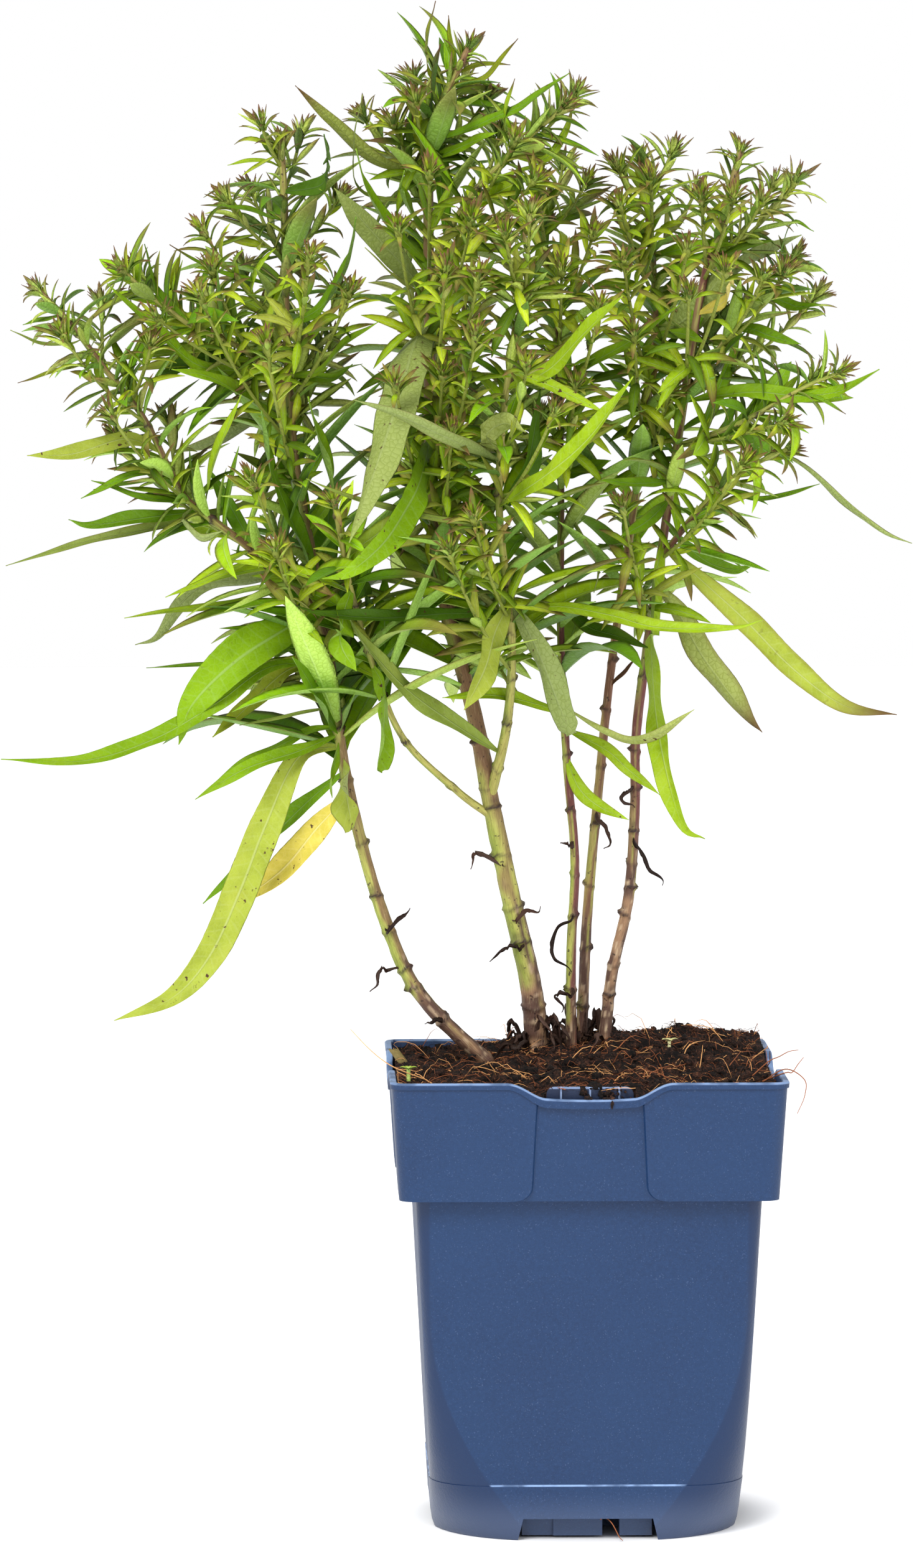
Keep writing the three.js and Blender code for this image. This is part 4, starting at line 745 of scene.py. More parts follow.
FIBRES, STRAWS = 3400, 250
chance = np.random.default_rng(21)
spots = chance.uniform(-SOIL_HALF + 1, SOIL_HALF - 1, (FIBRES, 2))
FIBRE_TONES = linear((26, 16, 14), (78, 46, 34), (164, 98, 62), (255, 188, 122))
straw = np.arange(FIBRES) < STRAWS
fibres = fibre_tubes(
    spots[:, 0], spots[:, 1], chance.uniform(0, 2 * math.pi, FIBRES),
    1.6 + 4.5 * chance.random(FIBRES) + straw * (3 + 11 * chance.random(FIBRES) ** 2),
    (2.2 + 4 * straw) * chance.random(FIBRES) ** 4 - 0.3 + 0.4 * straw,
    0.055 + 0.09 * chance.random(FIBRES) ** 2 + 0.05 * straw,
    chance.normal(0, 0.5, FIBRES) * (1 - 0.5 * straw), np.where(straw, 0.04, 0.3))
tone = np.where(straw, chance.choice(4, FIBRES, p=[0, 0.1, 0.35, 0.55]),
                chance.choice(4, FIBRES, p=[0.3, 0.44, 0.2, 0.06]))
fibre_piece("compost_fibres", tinted(fibres, FIBRE_TONES[tone]))


def curve_point(places, share):
    """Places on the smooth curve through points: a cubic between each two, whose slope at a
    point is half the step from the point before to the point after."""
    rail = np.vstack([2 * places[0] - places[1], places, 2 * places[-1] - places[-2]])
    at = np.asarray(share) * (len(places) - 1)
    k = np.minimum(at.astype(int), len(places) - 2)
    u = (at - k)[..., None]
    a, b, c, d = rail[k], rail[k + 1], rail[k + 2], rail[k + 3]
    return b + 0.5 * u * (c - a + u * (2 * a - 5 * b + 4 * c - d + u * (3 * b - 3 * c + d - a)))


def framed(mid):
    """Unit vectors along a way and two across it. The first across is +X made square to it."""
    along = unit(np.gradient(mid, axis=-2))
    across = unit(np.array([1.0, 0, 0]) - along * along[..., :1])
    return along, across, np.cross(along, across)


def round_tubes(mid, radius, around):
    """Closed tubes of even sections along ways, from arrays of ways by places."""
    _, across, side = framed(mid)
    return mid[..., None, :] + radius[..., None, None] * circle(across, side, around)


# A few root hairs hang over the rim on the left and the right, and one out under the foot.
HAIRS = [[(-44.5, -38, 128), (-52.5, -46, 132), (-56.9, -50, 135), (-61.2, -53, 139),
          (-65.8, -53, 143.9)],
         [(48, -44, 128), (53.9, -48, 132), (58.8, -53, 129.7), (58.9, -53, 125.2),
          (56.8, -54, 120.4)],
         [(48, -42, 128), (53.9, -48, 131), (55.6, -50, 131.3), (57.2, -50, 133.5),
          (58.8, -50, 135.5)],
         [(46, -30, 128), (50.5, -30, 132), (53.5, -30, 133.4), (56.2, -30, 134.8),
          (58.8, -30, 135.2)],
         [(3, -37, 4), (4.5, -40, 6), (6.5, -43, 5), (8.5, -45, 1.5), (9.5, -45.6, 0.5)]]
share = np.linspace(0, 1, 30)
ways = np.stack([curve_point(np.array(hair, float), share) for hair in HAIRS])
rings = round_tubes(ways, np.tile(np.linspace(0.2, 0.1, len(share)), (len(HAIRS), 1)), 5)
fibre_piece("compost_hairs", tinted(rings, FIBRE_TONES[[3, 2, 2, 2, 2]]))

# Crumbs of peat lie loose on the lump, each a squashed knob of twelve corners. The last of
# them have slumped over the label pocket onto the lip of the dip.
CRUMBS, SLUMPED = 2300, 90
SLUMP_Y, SLUMP_Z, SLUMP_REACH = -50.1, 128, 3.9
gold = (1 + 5 ** 0.5) / 2
knob = unit(np.array([(-1, gold, 0), (1, gold, 0), (-1, -gold, 0), (1, -gold, 0), (0, -1, gold),
                      (0, 1, gold), (0, -1, -gold), (0, 1, -gold), (gold, 0, -1), (gold, 0, 1),
                      (-gold, 0, -1), (-gold, 0, 1)], float))
knob_faces = np.array([(0, 11, 5), (0, 5, 1), (0, 1, 7), (0, 7, 10), (0, 10, 11), (1, 5, 9),
                       (5, 11, 4), (11, 10, 2), (10, 7, 6), (7, 1, 8), (3, 9, 4), (3, 4, 2),
                       (3, 2, 6), (3, 6, 8), (3, 8, 9), (4, 9, 5), (2, 4, 11), (6, 2, 10),
                       (8, 6, 7), (9, 8, 1)])
size = 0.3 + 1.3 * chance.random(CRUMBS) ** 4
spots = chance.uniform(-SOIL_HALF + 1.5, SOIL_HALF - 1.5, (CRUMBS, 2))
knobs = knob * chance.uniform(0.6, 1.25, (CRUMBS, 12, 1)) * size[:, None, None]
knobs = knobs * chance.uniform(0.6, 1.2, (CRUMBS, 1, 3))
rest = np.stack([*spots.T, crumbly(*spots.T) + 0.25 * size], -1)
across = np.clip(chance.normal(5, 3.8, SLUMPED), -9, 13)
down = chance.random(SLUMPED) ** 1.6
uneven = chance.normal(0, 0.3, SLUMPED)
rest[-SLUMPED:] = np.stack([across, SLUMP_Y - SLUMP_REACH * down,
                            SLUMP_Z - SLUMP_REACH * down + uneven], -1)
# One crumb hangs on the outer edge of the lip
rest[-1] = (5.9, -54.3, 123.3)
piece("compost_crumbs", (knobs + rest[:, None]).reshape(-1, 3),
      (knob_faces + 12 * np.arange(CRUMBS)[:, None, None]).reshape(-1, 3), peat_finish,
      slot="compost", stands_for=["compost"])

# Stems
# Five young stems stand in the peat, woody brown at the foot and yellow-green above, with
# purple-brown streaks and a ragged ring wherever a leaf has dropped. Their ways and side
# branches are (x, z) in the plane of the pot's middle as the picture shows them, and depth y.
# The radius is the foot's and the tip's.
VIEW_X, VIEW_DEPTH, VIEW_Z = np.array(CAMERA_PLACE) * [1, -1, 1]
STEM_BURIED = 14
ROOTED_BELOW = 140
GOLDEN_TURN = 2.39996
AXES = {
    "first": dict(stem=1, radius=(2.3, 1), way=[(-27, 129, 10), (-38, 139, 9), (-47.8, 150.7, 8),
        (-54.3, 165.2, 7), (-60.1, 182.7, 6), (-66, 207, 6), (-68.7, 224, 6), (-71, 242.5, 7),
        (-74, 262, 8), (-78, 283, 9), (-81.2, 303, 10), (-83, 334, 11), (-83.5, 367, 12),
        (-84.5, 388, 12)]),
    "first_left": dict(stem=1, radius=(1.4, 0.7), way=[(-71.5, 247, 7), (-79, 261, 2),
        (-94, 274, -4), (-106.8, 283.8, -8), (-113, 290, -10), (-122.8, 309.7, -12),
        (-133.7, 323.7, -12), (-143.8, 337, -10), (-152.5, 346, -8)]),
    "first_upper": dict(stem=1, radius=(0.9, 0.6), way=[(-82.5, 318, 10), (-95, 329, 2),
        (-110, 336, -6), (-122, 345, -12), (-130, 352.5, -16)]),
    "second": dict(stem=2, radius=(3.6, 1), way=[(-12.7, 134, 22), (-14.7, 150.7, 21),
        (-20.5, 176.3, 20), (-26, 203, 18), (-30.5, 227, 17), (-38.6, 258.8, 18),
        (-42.3, 290, 20), (-43, 340, 22), (-43, 387, 20), (-38.5, 400, 18), (-31.5, 414, 16)]),
    "second_right": dict(stem=2, radius=(1.6, 0.8), way=[(-26, 203, 18), (-21.2, 225, 8),
        (-20.1, 250, 0), (-23.5, 285, -8), (-21.5, 318, -14), (-16, 344, -20)]),
    "second_left": dict(stem=2, radius=(1.2, 0.7), way=[(-25.5, 198, 18), (-35, 205, 14),
        (-50, 219.5, 6), (-58, 238, 0), (-65, 262, -10), (-69.9, 287, -30)]),
    "second_top": dict(stem=2, radius=(1, 0.6), way=[(-43, 352, 21), (-32, 371, 8),
        (-20, 384, 4), (-12, 391, 2), (-5, 397, 0)]),
    "third": dict(stem=3, radius=(1.6, 0.8), way=[(-3.1, 134, 20), (-3.2, 160, 19),
        (-2.2, 185.7, 18), (-4.5, 214, 18), (-6.2, 250, 20), (-6.2, 293.5, 24), (-7.5, 330, 28),
        (-12, 370, 32)]),
    "fourth": dict(stem=4, radius=(1.7, 0.8), way=[(-0.2, 135, 29), (1.3, 170, 29),
        (4.2, 203, 29), (8, 240, 30), (15, 290, 32), (19.8, 330.7, 34), (19.3, 356, 33),
        (15.8, 383, 30)]),
    "fifth": dict(stem=5, radius=(1.8, 1), way=[(6.2, 134, 22), (8.3, 153.6, 22),
        (12.9, 175, 21), (14.7, 200, 20), (15.3, 224, 20), (21, 265, 18), (26.2, 300.8, 16),
        (33, 345, 16), (38, 362, 16), (44, 385, 14)]),
    "fifth_purple": dict(stem=5, radius=(1, 0.6), way=[(21.5, 270, 18), (33, 284.7, 10),
        (44.7, 295, 4), (58, 301.5, -2)]),
    "fifth_upper": dict(stem=5, radius=(1, 0.6), way=[(28.5, 315, 16), (40.7, 333, 20),
        (52, 348, 24), (59.5, 355.5, 26)]),
    "fifth_right": dict(stem=5, radius=(0.9, 0.5), way=[(26.5, 302, 16), (44, 308.5, 6),
        (61, 318, 0), (72.5, 323, -4)]),
}

def draw(seed):
    """A fixed share from 0 to 1: the fraction of 43758.5453 times sin(12.9898 seed)."""
    value = np.sin(np.asarray(seed) * 12.9898) * 43758.5453
    return value - np.floor(value)


def seen(x, z, y):
    """The place at depth y that the camera sees where it sees (x, z) of the plane y = 0."""
    scale = 1 + np.asarray(y) / VIEW_DEPTH
    place = [VIEW_X + (x - VIEW_X) * scale, y + 0 * scale, VIEW_Z + (z - VIEW_Z) * scale]
    return np.stack(place, -1)


def spaced(places, shares):
    """Places on that curve at shares of its length, and its length."""
    fine = curve_point(places, np.linspace(0, 1, 401))
    run = np.concatenate([[0], np.cumsum(np.linalg.norm(np.diff(fine, axis=0), axis=1))])
    at = [np.interp(shares * run[-1], run, fine[:, k]) for k in range(3)]
    return np.stack(at, -1), run[-1]


def length_of(places):
    """The length of the curve through places."""
    return spaced(places, np.array([0.0]))[1]


def share_at_height(places, height):
    """The first of 120 even shares at which the curve reaches a height."""
    shares = np.arange(121) / 120
    reached = curve_point(places, shares)[:, 2] >= height
    return shares[reached.argmax()] if reached.any() else 1.0


WAYS = {name: seen(*np.array(axis["way"], float).T) for name, axis in AXES.items()}
# Heights of the ragged rings where leaves have dropped, by axis, then how far up the bark is
# woody, and how much of it is purple-brown above that
NODE_RINGS = {
    "first": [139.5, 149, 154, 165, 175, 190, 208, 222],
    "second": [142, 160.5, 170.5, 185.7, 199, 205, 218, 232],
    "third": [147, 168, 180, 198, 214, 230], "fourth": [141, 158, 176, 193, 210, 226, 240],
    "fifth": [145, 154, 168, 176, 183, 192, 204, 215, 236]}
WOODY_TO = {"first": 147, "second": 158, "third": 142, "fourth": 156, "fifth": 186}
PURPLE = {"first": 0.75, "second": 0.6, "third": 1, "fourth": 0.8, "fifth": 1,
          "first_left": 0.85, "fifth_purple": 0.95}
PURPLE_SIDE = {"third": 1.5, "first": 1.0}
# The height above which a stem browns, and its brown there
BROWNED = {"second": (192, (144, 114, 74)), "fourth": (146, (170, 138, 90)),
           "fifth": (140, (138, 98, 80))}
STEM_STEP = 0.6
STEM_YELLOW, STEM_GREEN, STEM_PURPLE, STEM_WOOD, STEM_BARK, STEM_SCAR, STEM_PEEL = linear(
    (182, 178, 92), (136, 148, 56), (104, 54, 52), (152, 118, 88), (88, 62, 50), (38, 22, 20),
    (196, 170, 138))


def stained(colour, amount, stain):
    """Colours moved towards a stain by amounts from 0 to 1."""
    return colour + (stain - colour) * np.clip(amount, 0, 1)[..., None]


def stem_tube(name, around=16):
    """A stem's rings of places, each with its bark colour and its place round and along. At a
    node ring the radius swells by a narrow bell, more on the side of the leaf scar, and low
    ridges run along the stem. Purple-brown lies on the right side and in streaks. The foot is
    woody, with dark bark and pale peeling flakes."""
    axis, places = AXES[name], WAYS[name]
    stem = axis["stem"]
    share = np.linspace(0, 1, int(length_of(places) / STEM_STEP))
    mid = curve_point(places, share)
    radius = axis["radius"][0] + (axis["radius"][1] - axis["radius"][0]) * share ** 0.7
    if axis["way"][0][1] < ROOTED_BELOW:
        root = mid[0] - [[0, 0, STEM_BURIED]]
        mid, radius = np.vstack([root, mid]), np.append(radius[0], radius)
    z = mid[:, 2:]
    angle = even_turns(around)
    run = STEM_STEP * np.repeat(np.arange(len(mid))[:, None], around, axis=1)
    rings = NODE_RINGS.get(name, list(np.arange(mid[0, 2] + 9, mid[-1, 2], 13.0)))
    swell, scar = np.zeros((len(mid), around)), np.zeros((len(mid), around))
    for number, ring in enumerate(rings):
        facing = np.cos(angle - GOLDEN_TURN * number - stem)
        ragged = lumps(5 * np.cos(angle) + 11 * number, 5 * np.sin(angle), 1.3, 13)
        level = ring + 0.5 * facing + 1.3 * ragged
        swell += 0.32 * np.exp(-((z - level) / 0.55) ** 2) * (1 + 1.6 * ragged)
        swell += 1.0 * np.exp(-((z - level) / 0.6) ** 2) * np.maximum(facing, 0) ** 4
        scar += np.exp(-((z - level) / 0.5) ** 2) * (0.85 + 0.4 * facing)
        scar += 0.6 * np.exp(-((z - level - 1.6) / 1.3) ** 2) * np.maximum(facing, 0) ** 2
    uneven = lumps(run * 0.8, 5 * np.cos(angle) + 17 * stem, 2.5, 5)
    ridge = 1 + 0.04 * np.sin(3 * angle + run * 0.03) + 0.09 * uneven
    thick = (radius[:, None] * ridge + swell * min(1, axis["radius"][0] / 2))[..., None]
    _, across, side = framed(mid)
    places = mid[:, None] + thick * circle(across, side, around)
    streak = lumps(run * 0.25, 4 * np.cos(angle) + 4 * np.sin(angle) + 9 * stem, 2.6, 7)
    broad = lumps(run, 5 * stem, 26, 9)
    colour = np.broadcast_to(STEM_GREEN, (*streak.shape, 3))
    colour = stained(colour, 0.9 * soft_step(0.5 - 0.7 * np.cos(angle - 2.6) + streak), STEM_YELLOW)
    brown_from, brown = BROWNED.get(name, (900, (0, 0, 0)))
    browned = 0.85 * soft_step((z - brown_from) / 14) * soft_step(0.75 + 1.6 * streak + 0.9 * broad)
    colour = stained(colour, browned, linear(brown))
    bias = PURPLE_SIDE.get(name, 0.75) * np.cos(angle + 0.35)
    purple = soft_step(2.2 * streak + bias + 1.3 * broad + 0.28)
    colour = stained(colour, PURPLE.get(name, 0.2) * purple, STEM_PURPLE)
    wooden = soft_step((WOODY_TO.get(name, 0) - z) / 16 + 0.5 + 2.2 * streak)
    colour = stained(colour, wooden, STEM_WOOD)
    colour = stained(colour, wooden * soft_step(3 * streak + 0.5 + broad), STEM_BARK)
    peel = lumps(0.7 * run, 5 * np.cos(angle) + 5 * np.sin(angle) + 3 * stem, 2.2, 21)
    colour = stained(colour, wooden * 0.8 * soft_step(6 * peel - 0.9), STEM_PEEL)
    colour = stained(colour, 0.92 * scar, STEM_SCAR)
    flat = np.stack([angle * radius[:, None], run], -1)
    return np.concatenate([places, colour, flat], -1)


def bark():
    """Thin bark: its colour along the stem, with fine streaks lengthways and dark dots."""
    finish = Finish("stem_bark", Specular_IOR_Level=0.35)
    mix, step, noise = finish.mix, finish.step, finish.noise
    tint = finish.layer("tint", "Color")
    flat = finish.node("TexCoord", output="UV")
    fibrous = finish.node("VectorMath", {"operation": "MULTIPLY"}, {0: flat, 1: (1, 0.09, 1)})
    streaks = noise(fibrous, 2600, 3, 0.6)
    dots = step(noise(finish.place(), 760, 2, 0.5), 0.65, 0.70)
    colour = mix(step(streaks, 0.45, 0.8) * 0.6, tint, paint(84, 54, 42))
    colour = mix(step(streaks, 0.45, 0.2) * 0.35, colour, paint(216, 204, 150))
    colour = mix(dots * 0.8, colour, paint(46, 28, 24))
    finish.show(Base_Color=colour, Roughness=0.45 + 0.2 * streaks)
    finish.relief(streaks, 0.0004)
    return finish


bark_finish = bark()


def joined(parts):
    """One array of places and one of faces from several meshes."""
    counts = np.cumsum([0] + [len(points) for points, _ in parts[:-1]])
    return (np.vstack([points for points, _ in parts]),
            np.vstack([faces + count for (_, faces), count in zip(parts, counts)]))


# Large leaves
# Long narrow blades, folded along a pale rib and wavy at the edge. A row gives the height at
# which a leaf leaves its axis, its width, the turn of its face from upward to the viewer, its
# tip's depth, its tint and mark, and x and z of the places on its way that the picture shows.
LARGE_LEAVES = {
    "first": [
        (217, 9.6, 65, -22, "pale holes", -80, 214.5, -89.4, 195, -96.2, 177.5, -104.9, 158.8,
         -115.6, 146.8, -131.8, 140.6),
        (210, 6.5, 60, 24, "green", -76.3, 203, -88.8, 190.7, -106.7, 173.6),
        (202, 8, 65, 4, "yellow spots", -74.4, 195, -84.4, 183, -98, 173),
        (214, 12, 82, -7, "pale torn", -66.5, 208, -65.5, 201, -64.5, 195),
        (219.5, 5, 40, -14, "bright", -80, 216.3, -95, 211.3, -108.8, 203),
        (222, 5, 40, 24, "bright", -78, 221.3, -93, 213.5, -107, 204.5),
        (240, 5.5, 45, -30, "bright", -88, 240, -102, 230.5, -120, 220, -140, 213.8, -163.2,
         214.4),
        (258, 12, 60, -12, "bright", -79.5, 253.5, -97, 242, -109.7, 229.4, -113.4, 218.4),
        (239, 7.5, 55, 16, "olive spots", -83, 239, -97, 226, -103.9, 220.5),
        (228, 1.6, 40, 4, "grey", -77, 227.5, -96.4, 223.8),
        (246, 2.4, 40, 34, "green", -98, 241.5, -122.4, 240),
        (264, 3.5, 35, 20, "lime", -94, 259, -111.3, 256.3, -128.5, 254),
        (267, 5, -60, 30, "grey", -92, 265, -105.6, 263.5, -113, 257.7, -119.4, 248.5, -125.5,
         246.5),
        (291, 3.8, 45, 16, "grey", -92.3, 286.6, -117, 279.7, -140.2, 275, -161.6, 268.7),
        (261, 8, 75, -26, "green", -78, 272, -83, 284, -88.3, 299, -90, 312),
        (276, 7, 70, -14, "bright", -70.5, 288, -73, 300, -77, 316),
        (221, 8.5, 70, -16, "green", -73, 228, -77, 236, -81.5, 243),
        (220, 4, 60, -10, "green", -66, 227, -64, 233),
        (219, 3.5, 80, -10, "bright", -70.5, 211, -70.4, 203.4),
        (307, 5.5, 50, -30, "bright", -92, 314, -104, 321, -115, 323.6),
        (312, 4.5, -50, 34, "grey", -92, 310, -102, 304, -115, 300),
        (318, 3.5, 60, -20, "bright", -74, 323, -66, 331, -57, 337),
        (320.5, 4, 50, -2, "green spots", -76, 321.5, -69, 321, -64.5, 325),
        (346, 3, 55, 30, "bright", -86, 349, -91, 354),
        (335, 5.5, 65, -24, "green", -73, 341, -66, 352, -63.5, 366),
        (372, 5, 80, -12, "dark", -73, 375, -71.5, 382, -72.4, 389),
        (379.5, 1.7, 45, 4, "lime", -90, 381.8, -99.3, 380.4),
        (364, 2.4, 45, -6, "green", -92, 367.5, -102, 369.5),
        (343, 2.4, 45, -24, "green tip", -90, 347.5, -106, 352.5, -115.5, 358.3),
    ],
    "first_left": [
        (271, 2.5, 40, -16, "lime", -99.8, 266.7, -117, 259.8),
        (275, 2, 40, 10, "green", -98, 269.5, -104, 265),
        (284, 5, 50, 0, "green", -120, 282.3, -137.3, 280, -144, 281.6),
        (299, 5.5, 55, -22, "pale spots", -128, 304, -143, 299.8, -155.5, 299.5),
        (296, 2.5, 45, -30, "green", -127.5, 293.5, -140.5, 287.5),
        (293, 2, 45, 6, "green", -126, 292, -137, 290),
        (286, 3, 45, -26, "green", -122.9, 287.8, -137.6, 292.5),
        (283.5, 4.5, 75, -24, "lime", -104.4, 293.6, -100.4, 305, -95.6, 316.5),
        (285.5, 3, -60, -22, "grey", -112, 281, -107, 276.5, -101, 278.3),
        (329, 1.3, 60, -22, "grey", -132, 340, -127, 352, -124.6, 358.5),
        (332, 1.4, 45, -20, "grey", -144, 330.5, -152, 331, -160, 334.5),
        (326, 1.9, 45, 2, "olive tip", -142, 324.5, -158, 319.8),
        (338, 2, 45, -2, "green", -148, 338, -156.5, 336),
    ],
    "first_upper": [
        (335, 3.5, 75, -16, "green", -118, 343, -120.5, 350, -122.5, 358.5),
        (336, 3, 75, 2, "olive", -115, 345, -112.5, 356.3),
        (323, 4.5, 65, -24, "bright", -106, 324, -118, 333, -133, 347.5),
        (328, 5, 60, 10, "dark", -104, 327, -113, 324, -122, 319.5),
        (331, 3, 80, 12, "pale", -103, 343, -102.3, 357),
    ],
    "second": [
        (335, 12, 175, -50, "under spots", -47, 331, -51, 317, -58, 296, -65.5, 275),
        (302, 9, 70, -46, "bright spots", -46, 292, -50, 284, -56.5, 274.4, -66, 266.5, -73, 265),
        (343, 7, -60, -24, "under", -50, 352, -60, 363, -69.5, 374),
        (342, 2, 60, -34, "pale", -50, 347, -61, 357.5),
        (352, 5.5, 70, -8, "bright", -55, 364, -60.5, 374, -63.5, 385),
        (360, 5, 70, 0, "bright", -48, 367, -51, 373, -50, 379),
        (368, 1.4, 70, -18, "grey", -62, 373, -64, 387, -61.6, 400),
        (376, 4, -50, -4, "olive tip", -58, 382, -70, 392.5, -80.4, 402.5),
        (374, 2.6, 60, 34, "pale", -50, 379, -63, 387),
        (402, 2.6, 70, 8, "olive tip", -43, 406, -43.5, 415, -41.3, 426),
        (405, 2.3, 70, 24, "olive tip", -36.5, 411, -37.7, 422),
        (391, 5.5, 75, 2, "dark tip", -42.5, 396, -41.5, 404, -40, 414),
        (402, 2.2, 60, 10, "olive tip", -29, 404, -24, 408.5, -18.3, 415.6),
        (406, 1.8, 50, 26, "olive tip", -28, 408.5, -20.5, 408.3),
        (386, 4, 55, -14, "green spots", -34, 389.5, -24, 394, -16, 397.5, -4, 406),
        (380, 4, 60, 2, "bright", -34, 385.5, -24, 389.5),
        (398, 1.6, 45, 12, "lime tip", -44, 399.5, -49, 397.8),
        (388, 3.5, -60, 14, "dry", -46.5, 389.7, -49, 391, -47.5, 395),
    ],
    "second_right": [
        (280, 2.6, 50, -38, "grey", -36, 281, -53.6, 284.5, -65, 287.5, -77.5, 293),
        (260.5, 2, 45, -18, "grey", -34.5, 262, -49.5, 267.4, -56, 271.5),
        (255, 5, 45, -22, "dark spots", -39, 255, -56.5, 253.8, -74, 255.3, -81.5, 258),
        (252, 4.5, 50, -14, "lime", -9, 257, 7, 254.7, 21.4, 251, 41.8, 251, 50.5, 253.2),
        (259, 8, -75, -8, "grey torn", -13.7, 247, -6.7, 229.8, -3.3, 221),
        (257, 8.5, 70, -24, "pale", -24.7, 250, -27.5, 240, -33.3, 228),
        (214, 7, 60, -16, "grey", -34.5, 222.8, -49.5, 233.8, -61.7, 247, -65.8, 254.7),
        (285, 7.5, 65, -50, "lime", -10, 294, 2.5, 305, 14, 321.5),
        (283, 6, 80, 4, "dark", -17, 292, -14, 305, -12, 318),
        (318, 6.5, 65, -42, "lime", -10, 323, 0, 333, 11, 344),
        (323, 3.5, 55, -38, "lime spots", -12, 320, -2, 315.5, 6, 311.3),
        (300, 6, -60, -24, "pale", -27, 305, -22, 308.5, -16, 306),
        (298, 4.5, -45, -50, "grey", -36, 303.5, -50, 310, -64, 315),
    ],
    "second_left": [
        (259, 6.5, 80, 6, "dark", -61.5, 262, -60.6, 254, -60.6, 246),
        (262, 8, 75, -22, "bright", -67.5, 254, -67.5, 246, -63.5, 239),
        (240, 8.5, 80, -16, "bright torn", -55.8, 234, -56.3, 222, -57.5, 211),
    ],
    "second_top": [
        (383, 2, 80, 0, "lime tip", -22, 388, -21.5, 396, -19.2, 404.5),
        (383, 2.4, 75, 8, "lime tip", -11, 382, -5.5, 389, -2.8, 397.5),
        (376, 2, 45, -6, "lime tip", -18, 378.5, -8, 381.5),
        (390, 1.8, 45, 6, "lime tip", -8, 387.5, -0.5, 385.3),
    ],
    "third": [
        (256, 4.5, 50, 10, "dark", 1.3, 251.5, 9.8, 248.6, 19, 245.2),
        (222, 4.5, 50, -2, "lime", -8, 228, -24.7, 232, -39.4, 231.5),
        (226, 3.5, -50, -18, "pale spots", 7, 221, 18.5, 220, 31.3, 228),
        (221, 4, 50, 2, "lime", 6.8, 216.5, 13, 211, 21.7, 204),
        (212, 4.3, 55, 4, "lime spots", -1, 206, 5, 200.5, 13, 197),
        (292, 5, 60, 10, "green", 0, 295, 7.7, 298),
        (281, 4, 60, 12, "green", -10, 283.5, -15, 286),
        (284, 3, -60, 2, "under", -1, 277, 4.3, 268, 3.1, 261),
        (271, 2.5, 50, 8, "green", -10, 271.5, -16, 271),
        (318, 4.5, 60, -2, "bright", 4, 326, 16, 333, 27, 341.5),
    ],
    "fourth": [
        (331, 10, -75, 6, "under", 28, 337, 36, 346, 41, 353),
        (354, 4.5, 60, 6, "bright", 30, 357.5, 42.5, 358.3),
        (348, 4, 60, 12, "bright", 28, 352, 36, 357),
        (331.5, 4, 50, 4, "bright", 27, 333.5, 34, 331),
        (232, 1.6, 60, 26, "dry", 12, 239, 15, 242.5),
    ],
    "fifth": [
        (274, 9.3, 80, -10, "lime", 19.7, 262, 19.7, 241, 22, 219, 28, 196, 34.5, 191.6),
        (262, 8, -75, 12, "pale tip", 27, 255, 34.2, 242.4, 45.8, 226.8, 50.5, 221.6),
        (271, 7.2, 60, -6, "pale tip", 34.2, 263.5, 45.8, 252.9, 59, 239.5, 73.6, 229, 88.4,
         226.5),
        (286, 2, 50, 28, "green", 33, 280, 38.8, 272.6, 46.4, 266.5),
        (278, 5, 60, 32, "green", 34, 270, 41.8, 267.3, 47.8, 268.5),
        (290, 3.5, 55, -10, "green", 15, 291.5, 4.6, 292.5),
        (285, 4, 55, -2, "green", 18, 281, 10.4, 276.6),
        (312, 5.5, 50, -12, "bright", 35, 315.5, 48, 317, 60.7, 316, 73, 317.5, 83, 323.5),
        (320, 4.5, -50, 36, "grey", 38, 324, 51, 331.5),
        (344, 5.5, -60, 34, "grey", 42, 350, 50, 356, 61, 361),
        (338, 4, 75, -2, "yellow spots", 40, 343, 41.5, 352),
    ],
    "fifth_purple": [
        (300, 3, -50, -16, "grey", 62, 296, 73.6, 286, 84, 277.8, 92.4, 274.7),
        (290, 2, 45, 12, "green", 50.5, 287, 66.4, 291.4),
        (291, 2.5, -60, -8, "grey", 39, 285, 43.5, 280.7, 47, 278.5),
    ],
    "fifth_upper": [
        (333, 4, 50, 4, "green", 46, 335, 53, 332.5, 61, 330.5),
        (343, 3.5, 50, 10, "green", 53, 343.5, 60, 341, 66.5, 341.5),
        (324, 3, 60, 2, "dark", 38, 326.5, 46, 334.5),
        (350, 2, 50, 16, "green", 58, 364, 64.5, 362),
    ],
    "fifth_right": [
        (317, 1.3, 50, -10, "green tip", 66, 315.5, 73.6, 311),
        (310, 1.4, 60, 14, "green tip", 49.5, 318, 45, 326),
    ],
}
TINTS = {"lime": (142, 170, 24), "bright": (120, 156, 14), "green": (98, 136, 12),
         "dark": (66, 98, 14), "olive": (118, 130, 20), "grey": (122, 138, 56),
         "pale": (148, 160, 56), "yellow": (196, 180, 76), "under": (134, 150, 52),
         "dry": (88, 60, 44)}
MARKS = {"": 0, "spots": 1, "holes": 1, "torn": 1, "tip": 2}
EARLY_OUT = -44
NARROW = 3.5
LEAF_STATIONS, LEAF_AROUND = 60, 16
NARROW_STATIONS, NARROW_AROUND = 24, 8
LEAF_THICK = 0.24
LEAST_HALF = 0.12
FULL_TURN = 6.28


